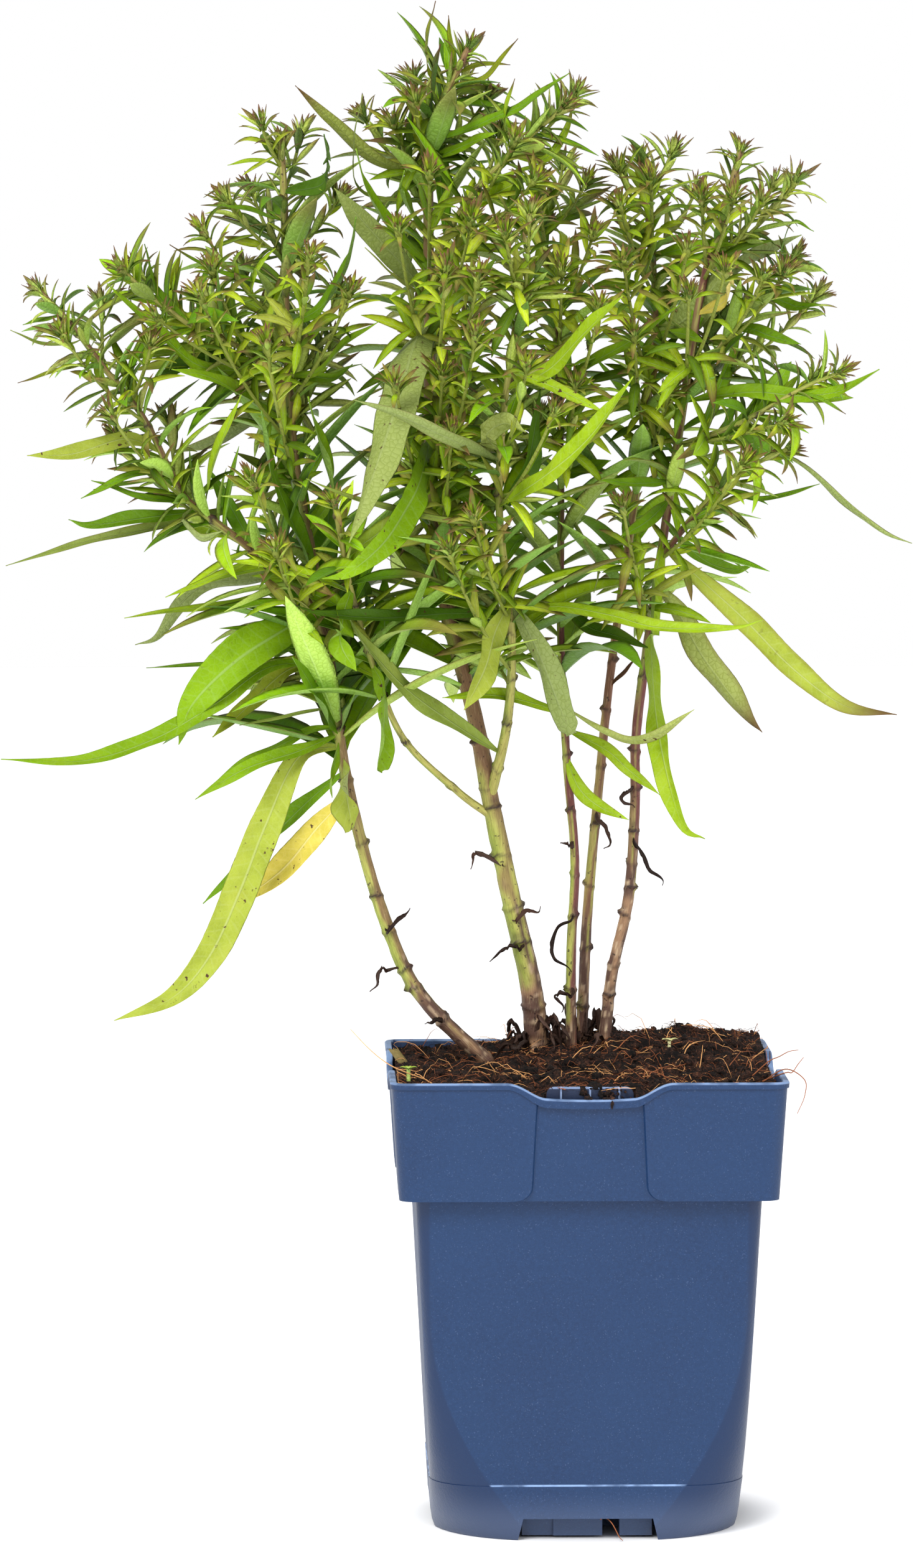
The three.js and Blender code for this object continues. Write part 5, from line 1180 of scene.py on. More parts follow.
def leaf_half(width, share):
    """Half width by the share of a leaf's length: a sine rise to 0.42, then a cosine fall."""
    rise = 0.14 + 0.86 * np.sin(math.pi / 2 * np.minimum(share / 0.42, 1))
    past = np.maximum(share - 0.42, 0) / 0.58
    return width / 2 * rise * np.cos(math.pi / 2 * past ** 1.35)


def face_normal(along, turn):
    """The way a face looks: from upward, turned about its rib towards the viewer."""
    up = unit(np.array([0, 0, 1.0]) - along * along[..., 2:])
    side = np.cross(up, along)
    towards = np.where(side[..., 1:2] < 0, side, -side)
    angle = np.radians(turn)
    return up * np.cos(angle) + towards * np.sin(angle)


def blades(mid, normal, half, cup, edge, thick, around):
    """Closed thin blades along ways. Round the section an angle a gives the place across,
    half cos a, and the face, sin a. The blade lifts from its rib by cup half |cos a|^1.4 and
    by the edge's wave times |cos a|^3, and thins by three quarters from its rib to its edges.
    Returns places with share, across, face and the millimetres along and across."""
    along = unit(np.gradient(mid, axis=-2))
    normal = unit(normal - along * np.sum(normal * along, -1, keepdims=True))
    side = np.cross(normal, along)
    angle = even_turns(around)
    across, face = np.cos(angle), np.sin(angle)
    out = np.abs(across)
    body = 1 - 0.75 * out ** 2
    lift = ((cup * half)[..., None] * out ** 1.4 + edge * out ** 3
            + (thick[..., None] * body) * face)
    places = (mid[..., None, :] + side[..., None, :] * (half[..., None] * across)[..., None]
              + normal[..., None, :] * lift[..., None])
    step = np.linalg.norm(np.diff(mid, axis=-2), axis=-1)
    run = np.concatenate([np.zeros((*step.shape[:-1], 1)), np.cumsum(step, -1)], -1)
    layers = np.broadcast_arrays((run / run[..., -1:])[..., None], across, face, run[..., None],
                                 half[..., None] * across)
    return np.concatenate([places, np.stack(layers, -1)], -1)


def way_from(root, places, tip_depth):
    """A way from its root through the places seen. Its depth moves evenly to the tip's, or by
    the square root of the share where the tip is far in front."""
    seen_way = np.vstack([[root[0], root[2]], places])
    run = np.cumsum(np.linalg.norm(np.diff(seen_way, axis=0), axis=1))
    power = 0.5 if tip_depth < EARLY_OUT else 1
    depth = root[1] + (tip_depth - root[1]) * (run / run[-1]) ** power
    return np.vstack([root, seen(seen_way[1:, 0], seen_way[1:, 1], depth)])


def marked(rings, tone, mark=0, purple=0, margin=0):
    """Blades whose places all have one tone, mark, share of purple and brown margin."""
    values = np.broadcast_to([*tone, mark, purple, margin], (*rings.shape[:-1], 6))
    return np.concatenate([rings, values], -1)


def large_leaf(axis, row, seed, stations, around):
    """The rings of one leaf. Its cup is 0.32 + 0.3 sin 9s by the share s of its length, its
    edge waves by a sine of the millimetres along over 3.1, and low teeth widen it every
    3.2 mm. A torn leaf stays broad to its end, which is ragged."""
    height, width, turn, tip_depth, look, *places = row
    tint, _, mark = look.partition(" ")
    root = curve_point(WAYS[axis], share_at_height(WAYS[axis], height))
    way = way_from(root, np.array(places, float).reshape(-1, 2), tip_depth)
    share = np.linspace(0, 1, stations)
    mid, length = spaced(way, share)
    along = unit(np.gradient(mid, axis=0))
    normal = face_normal(along, turn)
    cup = 0.32 + 0.3 * np.sin(9 * share + FULL_TURN * draw(seed))
    torn = mark == "torn"
    half = leaf_half(width, share * (0.7 if torn else 1))
    wave = 0.05 * width * np.sin(length * share[:, None] / 3.1 + FULL_TURN * draw(seed + 0.3)
                                 + 2.2 * (np.cos(even_turns(around)) > 0))
    wave = wave * np.sin(math.pi * share)[:, None]
    teeth = 1 + 0.035 * np.abs((length * share / 3.2 + draw(seed)) % 1 - 0.5) * (width > 5)
    ragged = 1 - torn * soft_step((share - 0.93) / 0.07) * (0.35 + 0.4 * draw(seed + share))
    half = np.maximum(half * teeth * ragged, LEAST_HALF)
    thick = np.full(stations, LEAF_THICK) * np.clip(width / 6, 0.6, 1)
    rings = blades(mid, normal, half, cup, wave, thick, around)
    tone = linear(TINTS[tint])[0] * (0.9 + 0.2 * draw(seed + 0.6))
    brown = 0.25 * (width < 5) + 0.3 * (mark == "tip") * (width > 5)
    return marked(rings, tone, MARKS[mark], 0, brown)


def leaf_tissue():
    """Living leaf: its tint with darker and yellower patches, a pale rib, pale side veins and a
    paler underside with a net of veins. Mark 1 is flecked with brown, mark 2 has a brown tip,
    and the layers margin and purple brown its edges and redden its tip."""
    finish = Finish("leaf", Specular_IOR_Level=0.11)
    mix, step, noise = finish.mix, finish.step, finish.noise
    tint = finish.layer("tint", "Color")
    across, face = finish.layer("across"), finish.layer("face")
    share, mark, along = finish.layer("share"), finish.layer("mark"), finish.layer("run")
    purple = finish.layer("purple")
    place = finish.place()
    out = finish.maths("ABSOLUTE", across)
    patch = noise(place, 160, 4, 0.55)
    fine = noise(place, 1300, 3, 0.6)
    under = step(face, 0.05, -0.15)
    deep = finish.node("HueSaturation", None, {
        "Hue": 0.505, "Saturation": 1.05, "Value": 0.62, "Color": tint})
    colour = mix(step(patch, 0.35, 0.75) * 0.5, tint, deep)
    yellowed = step(noise(place, 60, 3, 0.5), 0.56, 0.72) * 0.25
    colour = mix(yellowed, colour, finish.node("HueSaturation", None, {
        "Hue": 0.47, "Saturation": 0.95, "Value": 1.15, "Color": tint}))
    pale = finish.node("HueSaturation", None, {"Saturation": 0.72, "Value": 1.22, "Color": tint})
    colour = mix(under * 0.55, colour, pale)
    side_vein = finish.maths("SINE", along * 1.5 - out * 4.2 + patch * 3)
    side_vein = step(side_vein, 0.8, 1.0) * step(out, 0.08, 0.2) * 0.14
    net = finish.node("TexVoronoi", {"feature": "DISTANCE_TO_EDGE"},
                      {"Vector": place, "Scale": 640})
    mesh_of_veins = step(net, 0.10, 0.02)
    rib = step(out, 0.10, 0.03) * step(share, 1.0, 0.7)
    veins = mesh_of_veins * (0.10 + 0.3 * under)
    colour = mix(veins, colour, mix(under, pale, deep))
    colour = mix(rib * 0.55 + side_vein, colour, pale)
    fleck = step(noise(place, 520, 2, 0.5), 0.66, 0.74)
    near_tip = step(share, 0.72, 0.98)
    spotted = step(mark, 0.4, 0.6) * step(mark, 1.6, 1.4)
    tipped = step(mark, 1.5, 1.7)
    colour = mix(fleck * spotted * 0.85 + 0.25 * fleck, colour, paint(74, 48, 34))
    colour = mix(near_tip * tipped * 0.9, colour, paint(86, 52, 36))
    margin = step(out, 0.62, 1.0) * finish.layer("margin")
    colour = mix(margin, colour, paint(104, 62, 44))
    colour = mix(purple, colour, paint(112, 70, 56))
    finish.show(Base_Color=colour, Roughness=0.42 + 0.2 * patch)
    finish.relief(fine * 0.5 + net * (0.6 + under) + rib * 0.6, 0.00022)
    return finish


leaf_finish = leaf_tissue()


def leaf_piece(name, meshes, stands_for):
    """A piece of blades. Their values after the places are share, across, face and the
    millimetres along and across, then the tint, the mark, the purple and the margin."""
    points, faces = joined(meshes)
    layers = {"share": points[:, 3], "across": points[:, 4], "face": points[:, 5],
              "run": points[:, 6], "tint": coloured(points[:, 8:11]), "mark": points[:, 11],
              "purple": points[:, 12], "margin": points[:, 13]}
    piece(name, points[:, :3], faces, leaf_finish, layers, points[:, 6:8] * MM, "foliage",
          [stands_for])


# Side shoots
# Short leafy shoots rise from the upper stems. Each is clad in overlapping narrow leaves that
# shorten upwards, and ends in a closed bud head of thin bracts with red-purple tips. A tip is
# x and z as the picture shows them, and its depth y.
SHOOT_TIPS = {
    "first": [(-106.7, 363, -10), (-100, 371, 6), (-92.7, 373.6, 26), (-90, 392, 6),
        (-78.7, 390, 26), (-107.5, 345, -34), (-95, 352, 36), (-76.5, 355.7, -36),
        (-88.7, 331, -44), (-92.9, 293.5, -34), (-86.5, 274, -34), (-68, 372, 8),
        (-64.8, 346, -20), (-70, 332, 34)],
    "first_left": [(-132.4, 311.4, -26), (-131, 305, 0), (-146, 334, -24), (-134.5, 342.5, 2),
        (-120.6, 331, -24), (-116, 310, 6)],
    "first_upper": [(-120, 338.5, -26), (-125.5, 352, 2), (-104, 352, -18)],
    "second": [(-62.3, 395, 24), (-53.3, 392.6, 6), (-47.5, 405, 24), (-47, 399, 2),
        (-52.8, 320, -30), (-39.3, 323, -22), (-36.7, 306.8, -26), (-52, 363.5, -26),
        (-43, 379, -16), (-33, 404, 36), (-38.5, 352, -36), (-29, 350, -34), (-29.8, 334, -38),
        (-26.4, 400, 26), (-50, 384, 40), (-31, 366, -24)],
    "second_right": [(-38, 273.8, -34), (-31, 283, -34), (-15.5, 325.5, -42),
        (-14.8, 367.8, -28), (-22, 362, -38), (-8, 312, -34)],
    "second_top": [(-1.6, 401, 8), (-18.8, 388, -12), (-23.4, 390, 12), (-13, 377, -12)],
    "third": [(-12.7, 377, 8), (1, 376, 24), (-5.6, 381, 44), (4.8, 342, -16), (-6, 352, -6),
        (3, 362, 4), (-2, 320, -6)],
    "fourth": [(9, 380.7, 24), (10, 370, 8), (25, 384.7, 36), (14.2, 334, -2), (19, 377, 12),
        (29.3, 358, -6), (24.4, 317.8, 6), (11, 355, -10), (31.8, 374, 40)],
    "fifth": [(50.4, 371, 4), (42, 372, -6), (54, 376, 26), (60, 377, 12), (33, 372, -2),
        (11, 286, -22), (29.5, 345, -16), (40, 352, -18)],
    "fifth_purple": [(45, 298, -14)],
    "fifth_upper": [(56.5, 351, 8), (50.8, 350, 2), (66, 345, 40)],
    "fifth_right": [(66, 322, 6), (57, 309, -12)],
}
TWIN_DEPTH = -16
TOP_REACH = 55
STALK_FOOT, STALK_TOP, STALK_HEAD = 0.62, 0.42, 1.25
SHORT_AXES = ["first_left", "first_upper", "second_top", "fifth_right", "fifth_purple"]


def shoot_way(places, tip):
    """The three places of a shoot's arc. Its root lies below its tip by 8 mm and 0.7 of its
    reach, found in three steps, and its elbow at 0.6 of the reach and 0.38 of the rise."""
    root = curve_point(places, 1.0)
    for _ in range(3):
        reach = math.hypot(*(tip - root)[:2])
        share = min(share_at_height(places, tip[2] - 8 - 0.7 * reach), 0.97)
        root = curve_point(places, share)
    elbow = root + (tip - root) * [0.6, 0.6, 0.38]
    return root, elbow, tip


def arc_point(way, share):
    """Places on the arc from root to tip that bends towards the elbow:
    (1 - s)^2 root + 2 s (1 - s) elbow + s^2 tip."""
    root, elbow, tip = way
    share = np.asarray(share)[..., None]
    return (1 - share) ** 2 * root + 2 * share * (1 - share) * elbow + share ** 2 * tip


def all_shoots():
    """Tips by axis: those read in the picture, then twins that stand behind their stem at the
    mirrored depth, drawn a little aside."""
    shoots = [(axis, np.array(tip, float)) for axis, tips in SHOOT_TIPS.items() for tip in tips]
    fronts = [(axis, tip) for axis, tip in shoots
              if tip[2] < TWIN_DEPTH and axis not in SHORT_AXES]
    for i, (axis, (x, z, y)) in enumerate(fronts):
        stem = curve_point(WAYS[axis], share_at_height(WAYS[axis], z - 25))
        seed = i + 0.21
        shoots.append((axis, np.array([
            x + (stem[0] - x) * 0.3 * draw(seed), z - 6 * draw(seed + 0.5),
            2 * stem[1] - y + 10 * (draw(seed + 0.7) - 0.5)])))
    return shoots


def sprays(base, along, out, size, width, lean, curl, stations=6, around=4):
    """Small blades from bases. A blade leans out from the way along by an angle that grows
    from lean by curl, so its rib is the sum of even steps at that angle. Its width swells to
    0.42 of its length and runs to a point, and it thins from 0.3 to 0.06 mm."""
    share = np.linspace(0, 1, stations)
    angle = (lean[:, None] + curl[:, None] * share)[..., None]
    heading = along[:, None] * np.cos(angle) + out[:, None] * np.sin(angle)
    step = size[:, None, None] / (stations - 1)
    mid = base[:, None] + np.cumsum(heading * step, axis=1) - heading[:, :1] * step
    normal = along[:, None] * np.sin(angle) - out[:, None] * np.cos(angle)
    half = np.maximum(leaf_half(width[:, None], share), 0.08)
    cup = np.full(half.shape, 0.45)
    thick = np.broadcast_to(0.3 - 0.24 * share, half.shape)
    return blades(mid, normal, half, cup, np.zeros(around), thick, around)


LEAFLET_TONES = linear((176, 196, 34), (148, 178, 24), (124, 152, 18), (92, 122, 18),
                       (156, 164, 58))


# Small leaves keep clear of the large leaves that face the viewer, whose tips come nearer than
# FACING_TIP. A map of the plane y = 0, in cells of 2 mm from x = -200 to 120 and z = 0 to 480,
# holds the least depth of those leaves past their first fifth.
CELL, MAP_LEFT, MAP_CELLS = 2, -200, (160, 240)
FACING_TIP = 8
front_depth = np.full(MAP_CELLS, np.inf)


def cells(places):
    """The cells in which the camera sees places."""
    scale = 1 + places[..., 1] / VIEW_DEPTH
    x = VIEW_X + (places[..., 0] - VIEW_X) / scale
    z = VIEW_Z + (places[..., 2] - VIEW_Z) / scale
    return ((x - MAP_LEFT) / CELL).astype(int), (z / CELL).astype(int)


def in_front(rings):
    """True for blades that cover a facing leaf with more than an eighth of their length."""
    mid = rings[..., :3].mean(axis=2)
    depth = front_depth[cells(mid)]
    return (np.isfinite(depth) & (mid[..., 1] < depth)).mean(axis=1) > 0.125


def clear_sprays(movable, base, along, out, *shape):
    """Blades that turn to the far side of their stem where they would cover a facing leaf, and
    True for those that then keep clear of it."""
    ahead = movable & in_front(sprays(base, along, out, *shape))
    out = np.where(ahead[:, None], out * [1, 0, 1] + np.abs(out) * [0, 1, 0], out)
    rings = sprays(base, along, out, *shape)
    return rings, ~(movable & in_front(rings))


def dressed(rings, tones, purple, margin):
    """Blades with their values after the place: a tone each, no mark, purple that rises from
    0.42 to 0.87 of the length, and a brown margin."""
    share = rings[..., 3]
    redder = purple[:, None, None] * soft_step((share - 0.42) / 0.45)
    spread = [0 * share, redder, margin[:, None, None] + 0 * share]
    return np.concatenate([tinted(rings, tones), np.stack(spread, -1)], -1)


def turned(first, second, turn):
    """Vectors turned from the first towards the second, each by its own angle."""
    return first * np.cos(turn)[:, None] + second * np.sin(turn)[:, None]


def round_stem(mid_of, at, turn):
    """Places on a way, the way along it and the way out from it at turns about it."""
    mid = mid_of(at)
    along = unit(mid_of(np.minimum(at + 0.02, 1)) - mid_of(np.maximum(at - 0.02, 0)))
    across = unit(np.array([1.0, 0, 0]) - along * along[:, :1])
    return mid, along, turned(across, np.cross(along, across), turn)


def shoot_leaves(mid_of, length, seed):
    """Leaflets and bracts of one shoot, by kind 0, 1 and 2. Leaflets stand a golden turn
    apart from a share of 0.08 to the head, and shorten from 19 to 9 mm; a rosette of broad
    bracts and a tuft of thin ones close the head. Leans and curls are drawn in degrees."""
    chance = np.random.default_rng(int(seed * 100))
    count = int(np.clip(length / 2, 8, 28))
    broad, thin = 8, 16
    at = np.concatenate([np.linspace(0.08, 0.94, count), 1 - 0.07 * chance.random(broad),
                         1 - 0.02 * chance.random(thin)])
    total = len(at)
    kind = np.repeat([0, 1, 2], [count, broad, thin])
    low = np.array([0, 5.5, 3])[kind]
    size = np.where(kind == 0, (19 - 11 * at) * chance.uniform(0.5, 1.25, total),
                    low + np.array([0, 4.5, 3])[kind] * chance.random(total))
    width = np.where(kind == 0, 1.0 + size * chance.uniform(0.08, 0.15, total),
                     size * np.array([0, 0.2, 0.18])[kind])
    lean = np.where(kind == 0, np.radians(68 - 34 * at) * chance.uniform(0.5, 1.35, total),
                    np.radians(np.array([0, 26, 6])[kind] + chance.uniform(0, 30, total)))
    curl = np.radians(chance.uniform(-10, 75, total))
    curl = np.where(kind == 2, 0.3 * curl, curl)
    turn = seed + GOLDEN_TURN * np.arange(total) + chance.uniform(-0.3, 0.3, total)
    mid, along, out = round_stem(mid_of, at, turn)
    base = mid + out * np.array([0.3, 0.7, 0.8])[kind][:, None]
    base = base - along * np.array([0, 1.6, 0.4])[kind][:, None]
    rings, kept = clear_sprays(kind == 0, base, along, out, size, width, lean, curl, 7)
    tones = LEAFLET_TONES[chance.integers(0, 5, total)] * chance.uniform(0.85, 1.15, (total, 1))
    reddened = 0.75 * (chance.random(total) < 0.2 + 0.35 * at)
    purple = np.where(kind == 0, reddened, np.array([0, 0.8, 0.95])[kind])
    margin = 0.5 * (chance.random(total) < 0.3)
    return closed_tubes(dressed(rings, tones, purple, margin)[kept])


CROWN_STEP = 2.5
CROWN_TONES = linear((160, 200, 18), (138, 184, 16), (118, 166, 14), (98, 142, 16),
                     (142, 166, 44), (176, 206, 32))


def crown_leaves(mid_of, length, seed, top):
    """Leaves of an axis's own crown, one every 2.5 mm and a golden turn apart. Up the axis
    their length falls as 46 - 31 s^0.8 mm, times top and a chance of 0.6 to 1.2. They arch
    outwards."""
    chance = np.random.default_rng(int(seed))
    count = int(length / CROWN_STEP)
    at = np.linspace(0.0, 0.9, count)
    size = (46 - 31 * at ** 0.8) * top * chance.uniform(0.6, 1.2, count)
    width = 1.5 + size * chance.uniform(0.1, 0.17, count)
    turn = seed + GOLDEN_TURN * np.arange(count) + chance.uniform(-0.4, 0.4, count)
    mid, along, out = round_stem(mid_of, at, turn)
    lean = np.radians(chance.uniform(38, 72, count))
    curl = np.radians(chance.uniform(-5, 62, count))
    every = np.full(count, True)
    rings, kept = clear_sprays(every, mid, along, out, size, width, lean, curl, 12, 8)
    tones = CROWN_TONES[chance.integers(0, len(CROWN_TONES), count)]
    tones = tones * chance.uniform(0.85, 1.15, (count, 1))
    margin = np.where(chance.random(count) < 0.35, 0.5, 0.1)
    purple = 0.6 * (chance.random(count) < 0.3 * at + 0.05)
    return closed_tubes(dressed(rings, tones, purple, margin)[kept])


def stalk(mid_of):
    """A shoot's thin stalk, which swells into its head by a half sine over its last tenth."""
    share = np.concatenate([np.linspace(0, 0.9, 10), np.linspace(0.92, 1, 6)])
    head = STALK_HEAD * np.sin(math.pi * np.clip((share - 0.9) / 0.12, 0, 1))
    radius = np.maximum(STALK_FOOT + (STALK_TOP - STALK_FOOT) * share, head)
    radius[-1] = 0.4
    rings = tinted(round_tubes(mid_of(share)[None], radius[None], 6), STEM_GREEN[None])
    return closed_tubes(np.concatenate([rings, rings[..., :2] + rings[..., 2:3]], -1))


# Each leaf and shoot draws from its own number: the large leaves from 2 on, then the shoots.
# The tops and crowns of the axes draw from numbers of their own.
shoots = all_shoots()
leaf_seeds = {}
first_shoot = 2
for axis, rows in LARGE_LEAVES.items():
    leaf_seeds[axis] = first_shoot + np.arange(len(rows))
    first_shoot += len(rows)
TOP_SEED, CROWN_SEED = 500, 40
# The height from which an axis is leafy, and the size of its leaves
CROWNS = {"first": (212, 1.5), "second": (226, 1.35), "third": (232, 1.1), "fourth": (258, 0.95),
          "fifth": (286, 0.6), "fifth_upper": (0, 0.6), "fifth_purple": (0, 0.6),
          "second_right": (240, 1), "second_left": (228, 1.2)}


def large_leaves(axis):
    """The rings of an axis's wide leaves, then of its narrow ones."""
    groups = ([], [])
    for row, seed in zip(LARGE_LEAVES.get(axis, []), leaf_seeds.get(axis, [])):
        broad = row[1] >= NARROW
        grid = (LEAF_STATIONS, LEAF_AROUND) if broad else (NARROW_STATIONS, NARROW_AROUND)
        rings = large_leaf(axis, row, seed, *grid)
        groups[not broad].append(rings)
        if broad and row[3] <= FACING_TIP:
            outer = rings[LEAF_STATIONS // 5:, :, :3]
            np.minimum.at(front_depth, cells(outer), outer[..., 1])
    return groups


leaf_groups = {axis: large_leaves(axis) for axis in AXES}


def top_of(axis):
    """The last 55 mm of an axis as a shoot of its own: its way and its length."""
    places = WAYS[axis]
    length = length_of(places)
    start = max(1 - TOP_REACH / length, 0.3)
    way = lambda share: spaced(places, start + (1 - start) * np.asarray(share))[0]
    return way, length * (1 - start)


# Each stem's bark with its shoots' stalks, its large leaves, its crown and its leaflets
for stem in range(1, 6):
    own = [axis for axis in AXES if AXES[axis]["stem"] == stem]
    node = f"leafy_stem_{stem}"
    tubes = [closed_tubes(stem_tube(axis)[None]) for axis in own]
    leaflets = []
    for axis in own:
        leaflets.append(shoot_leaves(*top_of(axis), TOP_SEED + 7 * list(AXES).index(axis)))
    for number, (axis, (x, z, y)) in enumerate(shoots):
        if axis not in own:
            continue
        way = shoot_way(WAYS[axis], seen(x, z, y))
        mid_of = lambda share, way=way: arc_point(way, share)
        length = np.linalg.norm(way[1] - way[0]) + np.linalg.norm(way[2] - way[1])
        tubes.append(stalk(mid_of))
        leaflets.append(shoot_leaves(mid_of, length, first_shoot + number))
    points, faces = joined(tubes)
    piece(f"bark_{stem}", points[:, :3], faces, bark_finish, {"tint": coloured(points[:, 3:6])},
          points[:, 6:] * MM, "foliage", [node])
    wide, narrow = [sum((leaf_groups[axis][k] for axis in own), []) for k in (0, 1)]
    meshes = [closed_tubes(np.stack(group)) for group in (wide, narrow) if group]
    leaf_piece(f"leaves_{stem}", meshes, node)
    crown = []
    for axis in own:
        places = WAYS[axis]
        low, top = CROWNS.get(axis, (0, 0.8))
        start = share_at_height(places, low) if low else 0.1
        length = length_of(places) * (1 - start)
        ways = lambda share, p=places, s=start: curve_point(p, s + (1 - s) * np.asarray(share))
        crown.append(crown_leaves(ways, length, CROWN_SEED + list(AXES).index(axis), top))
    leaf_piece(f"crown_{stem}", crown, node)
    leaf_piece(f"leaflets_{stem}", leaflets, node)

# Withered leaves
# Dead lower leaves hang on as thin black-brown curls, whose ways are x and z as the picture
# shows them. Brown bud scales stand round each stem's foot, given as x, y and their number.
WITHERED = {
    "first": [[(-55, 155), (-57.5, 154.5), (-60, 148.5)], [(-54.5, 165.5), (-51.5, 169),
        (-48.8, 172.5)], [(-39.5, 140.5), (-44.5, 140)]],
    "second": [[(-22.5, 184), (-27.5, 187), (-31, 187.5), (-31.5, 183)], [(-18.5, 168.5),
        (-15, 172.5), (-13, 174.2)], [(-17.5, 161), (-22, 161), (-26.2, 157)]],
    "third": [[(-3, 168.5), (-7, 166), (-8.2, 158), (-5, 152.5)], [(-3.2, 147.5), (-8, 147.5),
        (-8.5, 142.5)], [(-3, 190), (-6.3, 190.2)]],
    "fourth": [[(4, 197), (6.4, 194), (5, 189)]],
    "fifth": [[(15, 190.5), (18, 186), (20.3, 177.5)], [(13.5, 205), (11.2, 203),
        (12.5, 199.5)]],
}
CURL_STATIONS = 36
CURL_LOOP = 1.6
BASE_SCALES = {1: (-27, 10, 3), 2: (-13, 22, 13), 3: (-3, 20, 9), 4: (1, 26, 7), 5: (9, 22, 3)}


def curled(places, seed, width):
    """A dead blade along a way: it winds into a small loop over its last third, of up to
    1.6 mm radius, and its face turns by two radians on the way."""
    share = np.linspace(0, 1, CURL_STATIONS)
    mid, _ = spaced(places, share)
    _, across, side = framed(mid)
    loop = np.clip((share - 0.62) / 0.38, 0, 1)[:, None] * (3 + 3 * draw(seed + 0.1))
    wound = across * (1 - np.cos(loop)) + side * (np.sin(loop) - 0.3 * loop)
    mid = mid + CURL_LOOP * draw(seed + 0.2) * wound
    half = np.maximum(leaf_half(width, share), LEAST_HALF)
    half = half * (1 + 0.5 * lumps(30 * share, seed, 1.5, 3))
    normal = turned(across, side, 2.0 * share + FULL_TURN * draw(seed))
    rings = blades(mid, normal, half, np.full(CURL_STATIONS, 1.1), np.zeros(8),
                   np.full(CURL_STATIONS, 0.14), 8)
    return marked(rings, linear((54, 36, 28))[0] * (0.4 + 1.6 * draw(seed + 0.4) ** 2))


withered = {stem: [] for stem in range(1, 6)}
seed = first_shoot + len(shoots)
for axis, ways in WITHERED.items():
    for way in ways:
        root = curve_point(WAYS[axis], share_at_height(WAYS[axis], way[0][1]))
        front = np.full(len(way), root[1] - 2 - 2 * draw(seed))
        places = np.vstack([root, seen(*np.array(way, float).T, front)])
        withered[AXES[axis]["stem"]].append(curled(places, seed, 1.5))
        seed += 1
chance = np.random.default_rng(8)
for stem, (x, y, count) in BASE_SCALES.items():
    turn = chance.uniform(0, 2 * math.pi, count)
    reach = chance.uniform(4, 11, count)
    for heading, far, high in zip(turn, reach, chance.uniform(1.5, 9, count)):
        out = np.array([math.cos(heading), math.sin(heading), 0])
        foot = [x, y, 0] + 2.5 * out
        foot[2] = soil_height(*foot[:2]) + 0.5
        places = np.stack([foot, foot + out * far * 0.4 + [0, 0, high],
                           foot + out * far + [0, 0, 0.3 * high + 0.6]])
        seed += 1
        withered[stem].append(curled(places, seed, 1.8))
for stem, rings in withered.items():
    leaf_piece(f"withered_{stem}", [closed_tubes(np.stack(rings))], f"leafy_stem_{stem}")

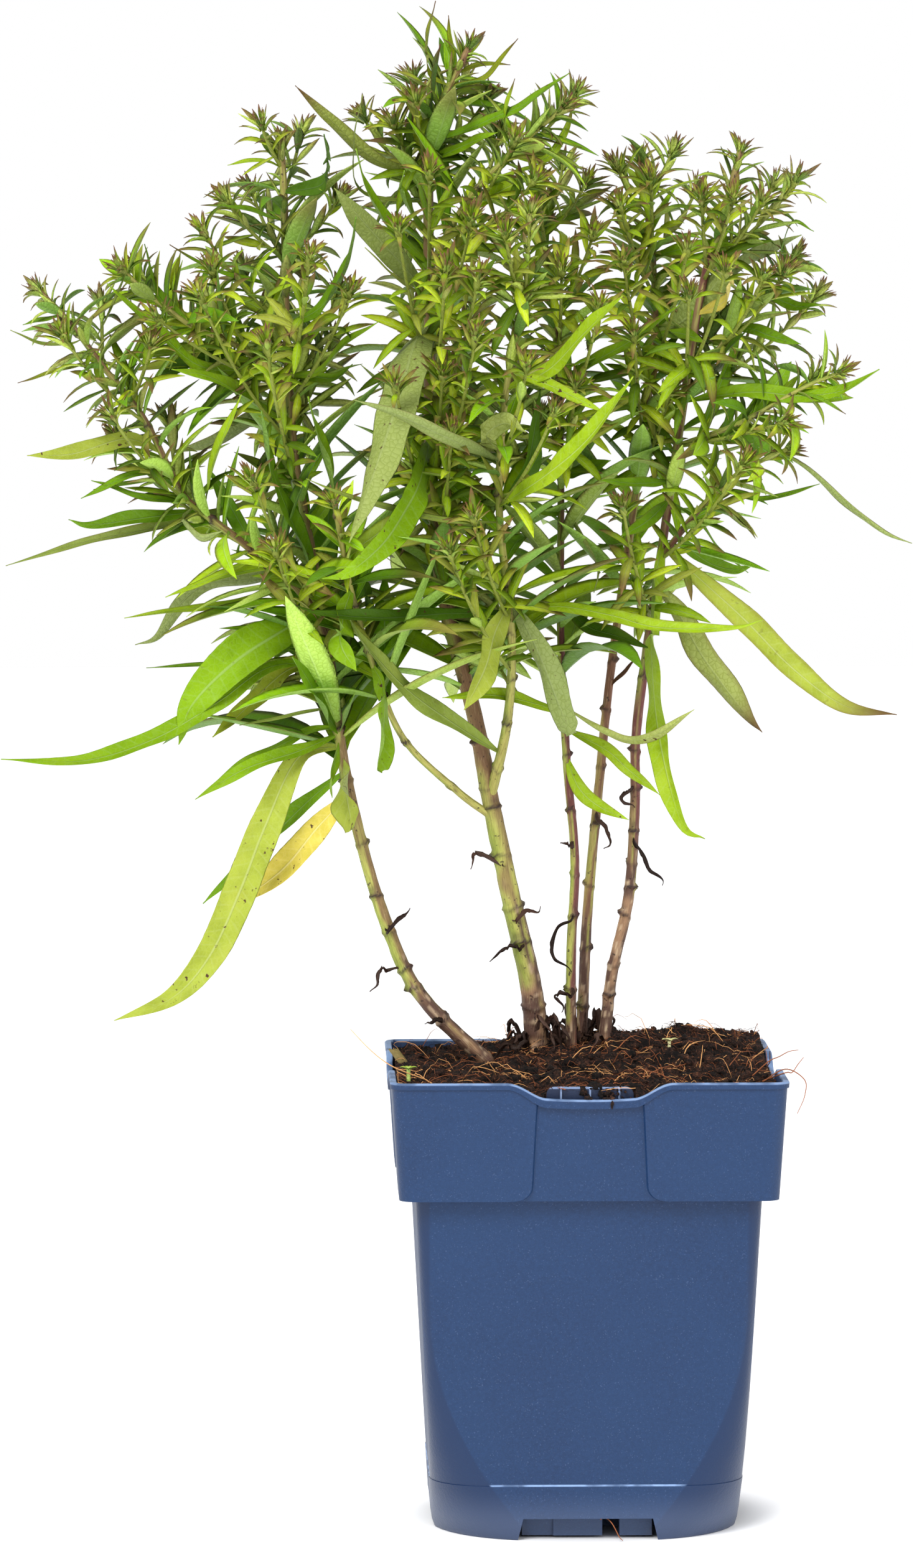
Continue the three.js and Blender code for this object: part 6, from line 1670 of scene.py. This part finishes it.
# Old stem
# The cut-off stem of last year: a dry olive-brown tube that leans out over the sunken rim on
# the left. It is hollow and split at its top. A row of its section is the height, the radius
# and how far the split edge shows there.
STUB_X, STUB_Y, STUB_TOP, STUB_LEAN = -49.8, 13, 131, 0.75
STUB_RADIUS, STUB_BORE, STUB_BURIED = 1.5, 0.8, 8
turn = even_turns(24)
foot = soil_height(STUB_X, STUB_Y) - STUB_BURIED
jag = 0.5 * lumps(6 * np.cos(turn), 6 * np.sin(turn), 2.0, 31) - 0.25
levels = [(foot, 0.9 * STUB_RADIUS, 0), (foot + 5, 0.97 * STUB_RADIUS, 0),
          (foot + STUB_BURIED, STUB_RADIUS, 0), (STUB_TOP - 1, STUB_RADIUS, 0.6),
          (STUB_TOP, 0.93 * STUB_RADIUS, 1), (STUB_TOP - 0.1, 1.12 * STUB_BORE, 1),
          (STUB_TOP - 1.2, STUB_BORE, 0.6), (foot + STUB_BURIED, 0.95 * STUB_BORE, 0),
          (foot + 4.5, 0.85 * STUB_BORE, 0)]
height, radius, jagged = np.array(levels).T[..., None]
stub_rings = np.stack([STUB_X + radius * np.cos(turn), STUB_Y + radius * np.sin(turn),
                       height + jagged * jag], -1)
stub_rings[..., 0] -= STUB_LEAN * np.maximum(stub_rings[..., 2] - foot - STUB_BURIED, 0)
points, faces = closed_tubes(stub_rings[None])
stub_finish = Finish("straw_stem", Roughness=0.8, Specular_IOR_Level=0.2)
grain = stub_finish.noise(stub_finish.place(), 700, 3, 0.6)
stub_finish.show(Base_Color=stub_finish.mix(grain, paint(74, 60, 34), paint(150, 134, 82)))
stub_finish.relief(grain, 0.0002)
piece("stub_tube", points, faces, stub_finish, slot="dead_stem", stands_for=["old_stem_stub"])

# Seedlings
# Two seedlings have come up in the peat, each a short soft stalk with a rosette of oval
# leaves. Stalk and leaves are one piece, whose foot is sunk in the peat.
for side, x, y, leaves, size, colour in [("left", -49.5, -29.6, 4, 2.6, (170, 196, 64)),
                                         ("right", 25.2, 13.1, 5, 2.4, (214, 210, 140))]:
    ground = soil_height(x, y)
    mid = np.array([[x, y, ground + rise] for rise in np.linspace(-5, 4, 8)])
    stalk_rings = round_tubes(mid[None], np.full((1, 8), 0.55), 8)
    number = np.arange(leaves)
    turn = even_turns(leaves)
    out = np.stack([np.cos(turn), np.sin(turn), 0 * turn], -1)
    up = np.broadcast_to([0, 0, 1.0], out.shape)
    base = np.broadcast_to([x, y, ground + 3.2], out.shape)
    rings = sprays(base, up, out, size * (0.8 + 0.4 * draw(x + number)), np.full(leaves, 1.7),
                   np.full(leaves, 0.9), np.full(leaves, 0.7), stations=14, around=8)
    stalk_rings = np.concatenate([stalk_rings, np.zeros((*stalk_rings.shape[:-1], 5))], -1)
    tubes = [closed_tubes(marked(part, linear(colour)[0])) for part in (rings, stalk_rings)]
    leaf_piece(f"sprout_{side}", tubes, f"seedling_{side}")
